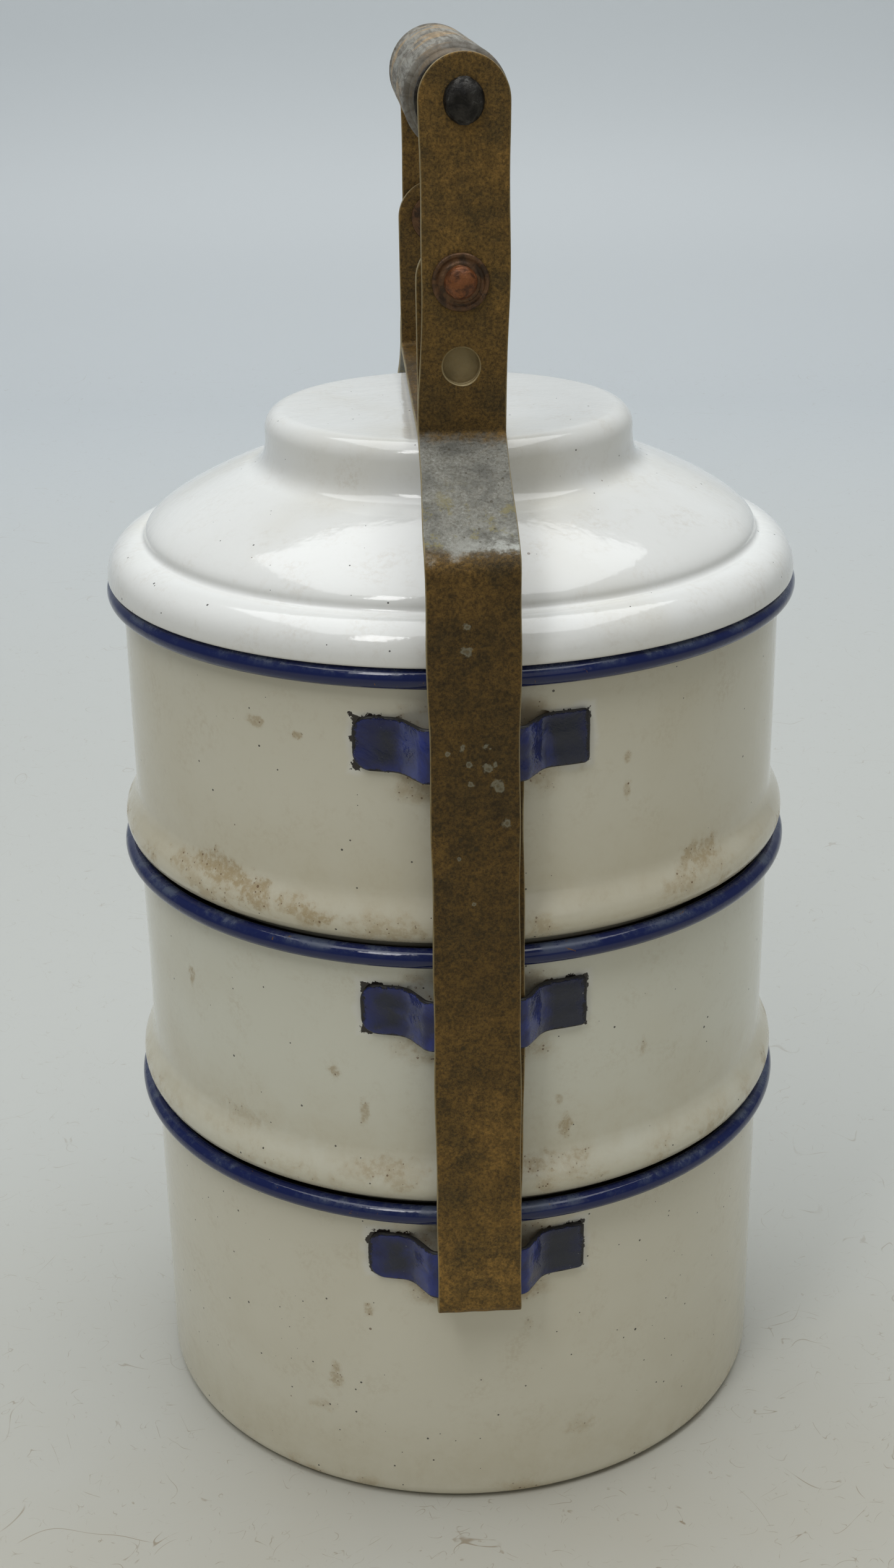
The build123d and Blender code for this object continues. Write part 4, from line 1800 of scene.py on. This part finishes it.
@dataclass
class Handle:
    """The turned wooden grip on its steel rod, with a collar at each end.

    Attributes:
        radius: the grip's radius at its barrel.
        bore: radius of the hole through it.
        rod: the rod's radius.
        upper_out: outer face of the straps.
        collar: the collars' radius.
        head: half width, half height and height of the rod's oval heads.
        head_shift: how far the heads stand off the rod's axis, to +X.
        z: height of the grip's axis.
    """

    radius: float = 0.0110
    half_length: float = 0.0525
    bore: float = 0.00308
    rod: float = 0.0030
    upper_out: float = 0.0560
    strap_t: float = 0.0016
    collar: float = 0.0090
    head: tuple[float, float, float] = (0.0042, 0.0047, 0.0024)
    head_shift: float = 0.0011
    z: float = field(init=False)

    def __post_init__(self) -> None:
        """Take the grip's height from its CAD node."""
        low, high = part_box("grip")
        self.z = (low.z + high.z) / 2

    def lay(self) -> Matrix:
        """Return the matrix that lays a turned piece along Y at the grip's axis, +Z towards the front."""
        return Matrix.Translation((0, 0, self.z)) @ Matrix.Rotation(math.pi / 2, 4, "X")

    def half_profile(self) -> list[np.ndarray]:
        """Work out half of the roller's outline.

        Returns:
            Runs from its middle to one end: barrel, groove, bead and rounded end.
        """
        end, bead_at, bead, groove = self.half_length, self.half_length - 0.0042, 0.0024, 0.0099
        neck = bead_at - 0.0034
        return [line((self.radius, 0), (self.radius, neck - 0.0060), 70),
                bezier([(self.radius, neck - 0.0060), (self.radius, neck - 0.0030),
                        (groove + 0.0006, neck - 0.0004), (groove, neck)], 12),
                line((groove, neck), (groove, bead_at - bead), 4),
                bezier([(groove, bead_at - bead), (self.radius + 0.0004, bead_at - 0.8 * bead),
                        (self.radius + 0.0004, bead_at + 0.8 * bead), (groove, bead_at + bead)], 16),
                bezier([(groove, bead_at + bead), (groove - 0.0002, end - 0.0006),
                        (groove - 0.0006, end), (groove - 0.0012, end)], 8)]

    def roller(self, wood: bpy.types.Material) -> bpy.types.Object:
        """Build the grip, slightly uneven from the lathe and from hands, and dress it.

        Args:
            wood: its material.

        Returns:
            The grip.
        """
        upper = join(self.half_profile())
        lower = upper[::-1] * np.array([1.0, -1.0])
        bore = line((self.bore, self.half_length), (self.bore, -self.half_length), 20)
        profile = join([lower, upper, bore])
        grid = turned(profile, 128, lambda angle, share: 0.00009 * ripple(angle, share * 22, 61))
        grip = grid_object("grip_wood", moved(grid, self.lay()), True, True)
        return Dress("grip", "grip", "turned_wood").put_on(grip, wood)

    def steel(self, rod_metal: bpy.types.Material, collar_metal: bpy.types.Material) -> None:
        """Build the rod with its hammered oval heads, and the collars, and dress them.

        Args:
            rod_metal: the rod's material.
            collar_metal: the collars' material.
        """
        wide, tall, proud = self.head
        face = self.upper_out
        dome = bezier([(0, face + proud), (0.68 * tall, face + proud), (tall, face + 0.65 * proud),
                       (tall, face)], 22)
        half = join([dome, line((self.rod, face), (self.rod, 0), 12)])
        profile = join([half, half[::-1] * np.array([1.0, -1.0])])
        grid = turned(profile, 72, lambda angle, share: 0.00016 * ripple(angle * 2, share * 30, 71))
        squeeze = np.where(np.abs(grid[..., 2]) >= face - 1e-6, wide / tall, 1.0)
        grid[..., 0] *= squeeze
        grid[..., 0] += np.where(grid[..., 2] >= face - 1e-6, self.head_shift, 0.0)
        rod = grid_object("grip_rod_steel", moved(grid, self.lay()), False, True)
        Dress("frame", "grip_rod", "dark_steel").put_on(rod, rod_metal)
        rings = []
        inner, outer, ease = self.half_length + 0.0003, face - self.strap_t, 0.0003
        for sign in (1.0, -1.0):
            ring = join([line((self.rod, inner), (self.collar - ease, inner), 5),
                         arc((self.collar - ease, inner + ease), ease, -90, 0, 6),
                         arc((self.collar - ease, outer - ease), ease, 0, 90, 6),
                         line((self.collar - ease, outer), (self.rod, outer), 5)]) * np.array([1.0, sign])
            rings.append(grid_object("ring", moved(turned(ring, 96), self.lay()), True, True))
        collars = joined("grip_collars_steel", rings)
        Dress("frame", "grip_collars", "dark_steel").put_on(collars, collar_metal)


# --- studio ---------------------------------------------------------------------


@dataclass
class Studio:
    """The pale sweep under and behind the carrier, its soft lights and the camera.

    Attributes:
        heading: degrees that the camera stands round the carrier from its front.
        camera_at: the camera's place before that turn.
        centre_x: what is taken off its X to centre it on the carrier.
        lens: focal length in millimetres on a sensor 36 mm long.
        pitch: degrees that it looks down.
        floor_depth: from the carrier to where the floor starts to curve up.
        curve: radius of that curve.
        reach: how far the sweep reaches sideways, forwards and up.
    """

    heading: float = -2.9
    camera_at: tuple[float, float, float] = (0.0, -0.5019, 0.3628)
    centre_x: float = 0.0007
    lens: float = 48.33
    pitch: float = 21.93
    yaw: float = -0.106
    roll: float = -0.842
    floor_depth: float = 1.25
    curve: float = 0.30
    reach: float = 2.6

    def turn(self) -> Matrix:
        """Return the turn from the camera's own upright frame to the carrier's frame."""
        return Matrix.Rotation(math.radians(self.heading), 4, "Z")

    def sweep(self) -> bpy.types.Object:
        """Build the sweep.

        Returns:
            A flat run, a quarter-round curve and a tall back, extruded sideways.
        """
        flat = line((-self.reach, 0), (self.floor_depth, 0), 30)
        bend = arc((self.floor_depth, self.curve), self.curve, -90, 0, 30)
        wall = self.floor_depth + self.curve
        back = line((wall, self.curve), (wall, self.reach), 10)
        run = join([flat, bend, back])
        x = np.linspace(-self.reach, self.reach, 24)
        grid = np.stack(np.broadcast_arrays(x[None, :], run[:, 0, None], run[:, 1, None]), -1)
        sweep = grid_object("sweep", moved(grid, self.turn()), False, False)
        sweep.data.flip_normals()
        sweep.data.materials.append(ScratchedFloor().build())
        return sweep

    def softbox(self, name: str, place: Sequence[float], aim: Sequence[float], size: tuple[float, float],
                power: float, tint: Colour = (1.0, 1.0, 1.0)) -> None:
        """Hang a rectangular soft light.

        Args:
            name: its name.
            place: where it hangs, in the camera's own upright frame.
            aim: the point that it faces.
            size: its width and height.
            power: its power in watts.
            tint: its colour.
        """
        data = bpy.data.lights.new(name, "AREA")
        data.shape = "RECTANGLE"
        data.size, data.size_y = size
        data.energy = power
        data.color = tint
        lamp = bpy.data.objects.new(name, data)
        bpy.context.collection.objects.link(lamp)
        spot = self.turn() @ Vector(place)
        away = spot - self.turn() @ Vector(aim)
        lamp.matrix_world = Matrix.Translation(spot) @ away.to_track_quat("Z", "Y").to_matrix().to_4x4()

    def light(self) -> None:
        """Light the carrier.

        A big ceiling light, a high window at the front left, one that lights the
        backdrop alone, a low fill and a dim room.
        """
        self.softbox("ceiling", (0.0, 0.10, 1.9), (0, 0, 0.1), (2.2, 1.8), 30.0, (0.97, 0.99, 1.0))
        self.softbox("window", (-0.50, -0.85, 1.45), (0, 0, 0.15), (0.28, 0.55), 4.0)
        self.softbox("backdrop", (0.0, 0.90, 1.0), (0, 1.55, 0.35), (2.4, 0.5), 3.0, (0.97, 0.99, 1.0))
        self.softbox("fill", (0.6, -1.6, 0.9), (0, 0, 0.15), (1.4, 1.0), 1.5, (1.0, 0.97, 0.92))
        world = bpy.data.worlds.new("room")
        world.use_nodes = True
        ground = world.node_tree.nodes["Background"]
        ground.inputs["Color"].default_value = (0.52, 0.54, 0.54, 1.0)
        ground.inputs["Strength"].default_value = 0.26
        bpy.context.scene.world = world
        bpy.context.scene.view_settings.view_transform = "Standard"

    def camera(self) -> None:
        """Set the camera at the front, above the lid, looking down a little."""
        data = bpy.data.cameras.new("camera")
        data.lens, data.sensor_width, data.sensor_fit = self.lens, 36.0, "AUTO"
        data.clip_start, data.clip_end = 0.01, 20.0
        eye = bpy.data.objects.new("camera", data)
        bpy.context.collection.objects.link(eye)
        place = Vector(self.camera_at) - Vector((self.centre_x, 0, 0))
        look = (Matrix.Rotation(-math.radians(self.yaw), 4, "Z")
                @ Matrix.Rotation(math.radians(90 - self.pitch), 4, "X")
                @ Matrix.Rotation(math.radians(self.roll), 4, "Z"))
        eye.matrix_world = self.turn() @ Matrix.Translation(place) @ look
        bpy.context.scene.camera = eye

    def build(self) -> None:
        """Build the sweep, lights and camera."""
        self.sweep()
        self.light()
        self.camera()


# --- the whole carrier ----------------------------------------------------------


@dataclass
class Carrier:
    """The whole tiffin carrier: its bowls with their lugs, lid, straps, yoke, pivots and handle.

    Attributes:
        spots: (x, z, radius) of the pale spots on the front strap.
        tone: (height, strength) pairs of the straps' brown.
        grey_z: heights between which the straps are rubbed grey.
    """

    bowls: tuple[Bowl, ...] = field(default_factory=lambda: (
        Bowl(Tier.BOTTOM, lug_drop=0.0126, speckle=0.24, white=(0.80, 0.765, 0.63), stains=(
            Stain(-19.1, 0.0549, (0.0020, 0.0030), 0.7), Stain(-25.5, 0.0332, (0.0022, 0.0075), 0.7),
            Stain(-28.0, 0.0240, (0.0050, 0.0035), 0.5), Stain(18.6, 0.0183, (0.0055, 0.0045), 0.45),
            Stain(8.6, 0.0509, (0.0020, 0.0035), 0.4), Stain(-14.6, 0.0671, (0.0030, 0.0025), 0.5),
            Stain(150.0, 0.0350, (0.0060, 0.0090), 0.5), Stain(-120.0, 0.0420, (0.0050, 0.0060), 0.5))),
        Bowl(Tier.MIDDLE, lug_drop=0.0140, speckle=0.10, white=(0.80, 0.795, 0.68), stains=(
            Stain(-55.4, 0.1314, (0.0014, 0.0050), 0.7), Stain(-23.9, 0.1198, (0.0022, 0.0022), 0.75),
            Stain(-18.6, 0.1096, (0.0018, 0.0045), 0.75), Stain(15.1, 0.1051, (0.0024, 0.0062), 0.8),
            Stain(30.0, 0.1207, (0.0012, 0.0045), 0.5), Stain(14.4, 0.1127, (0.0016, 0.0025), 0.6),
            Stain(-43.0, 0.1005, (0.0110, 0.0050), 0.45), Stain(-15.0, 0.0960, (0.0140, 0.0045), 0.60),
            Stain(10.4, 0.0964, (0.0060, 0.0045), 0.7), Stain(17.1, 0.0966, (0.0050, 0.0035), 0.6),
            Stain(120.0, 0.0980, (0.0150, 0.0050), 0.5), Stain(-150.0, 0.1150, (0.0040, 0.0080), 0.5))),
        Bowl(Tier.TOP, lug_drop=0.0154, speckle=0.10, stains=(
            Stain(-35.8, 0.2033, (0.0034, 0.0022), 0.7), Stain(-27.8, 0.2018, (0.0018, 0.0014), 0.8),
            Stain(25.6, 0.1949, (0.0016, 0.0018), 0.75), Stain(25.7, 0.1874, (0.0014, 0.0036), 0.6),
            Stain(10.8, 0.1945, (0.0018, 0.0020), 0.7), Stain(-45.0, 0.1648, (0.0110, 0.0060), 0.85),
            Stain(-38.0, 0.1625, (0.0120, 0.0048), 0.95), Stain(-27.0, 0.1610, (0.0090, 0.0038), 0.9),
            Stain(-14.0, 0.1590, (0.0150, 0.0055), 0.6), Stain(42.1, 0.1655, (0.0100, 0.0060), 0.7),
            Stain(35.8, 0.1612, (0.0080, 0.0040), 0.55), Stain(17.3, 0.1600, (0.0016, 0.0060), 0.85),
            Stain(-53.4, 0.1631, (0.0080, 0.0040), 0.6), Stain(165.0, 0.1640, (0.0170, 0.0055), 0.7),
            Stain(95.0, 0.1900, (0.0040, 0.0060), 0.4))),
    ))
    spots: tuple[tuple[float, float, float], ...] = (
        (-0.0056, 0.2035, 0.0006), (-0.0026, 0.2050, 0.0008), (0.0022, 0.2050, 0.0007),
        (-0.0013, 0.2011, 0.0006), (-0.0010, 0.1966, 0.0008), (0.0026, 0.2000, 0.0010),
        (0.0048, 0.1959, 0.0012), (0.0043, 0.2009, 0.0006), (0.0066, 0.1873, 0.0009),
        (-0.0037, 0.1795, 0.0005), (-0.0005, 0.1686, 0.0005), (-0.0014, 0.2313, 0.0008),
        (-0.0016, 0.2262, 0.0010), (0.0032, 0.2045, 0.0004))
    tone: tuple[tuple[float, float], ...] = (
        (0.070, 1.35), (0.100, 1.05), (0.165, 0.74), (0.235, 0.70), (0.262, 0.85), (0.290, 1.05))
    grey_z: tuple[float, float] = (0.2462, 0.2631)

    def build(self) -> None:
        """Build every sub-assembly in the order in which the carrier is put together."""
        blue = BlueEnamel().build()
        for bowl in self.bowls:
            bowl.build()
            for side in Side:
                Lug(bowl.tier, side, blue, seed=3 + ord(bowl.tier.prefix[0]) + int(side.value)).build()
        Lid().build()
        brass = AgedBrass("strap_brass", tone=self.tone, grey_z=self.grey_z, spots=self.spots).build()
        for side in Side:
            Strap(side, brass).build()
        Yoke(AgedBrass("yoke_brass").build()).build()
        copper = HammeredMetal("rivet_copper", (0.26, 0.092, 0.030), (0.090, 0.034, 0.014),
                               (0.34, 0.145, 0.055), 0.4)
        dull_copper = HammeredMetal("washer_copper", (0.155, 0.078, 0.034), (0.050, 0.030, 0.017),
                                    (0.27, 0.16, 0.08), 0.4)
        Pivots().build(copper.build(), dull_copper.build())
        rod = HammeredMetal("rod_steel", (0.045, 0.042, 0.038), (0.016, 0.015, 0.014),
                            (0.20, 0.20, 0.19), 0.7)
        collar = HammeredMetal("collar_steel", (0.06, 0.055, 0.048), (0.02, 0.018, 0.016),
                               (0.20, 0.19, 0.17), 0.7)
        handle = Handle()
        handle.roller(TurnedWood().build())
        handle.steel(rod.build(), collar.build())


def main() -> None:
    """Build the carrier and its studio."""
    logging.basicConfig(level=logging.INFO, format="%(name)s: %(message)s")
    Carrier().build()
    Studio().build()


if __name__ == "__main__":
    main()
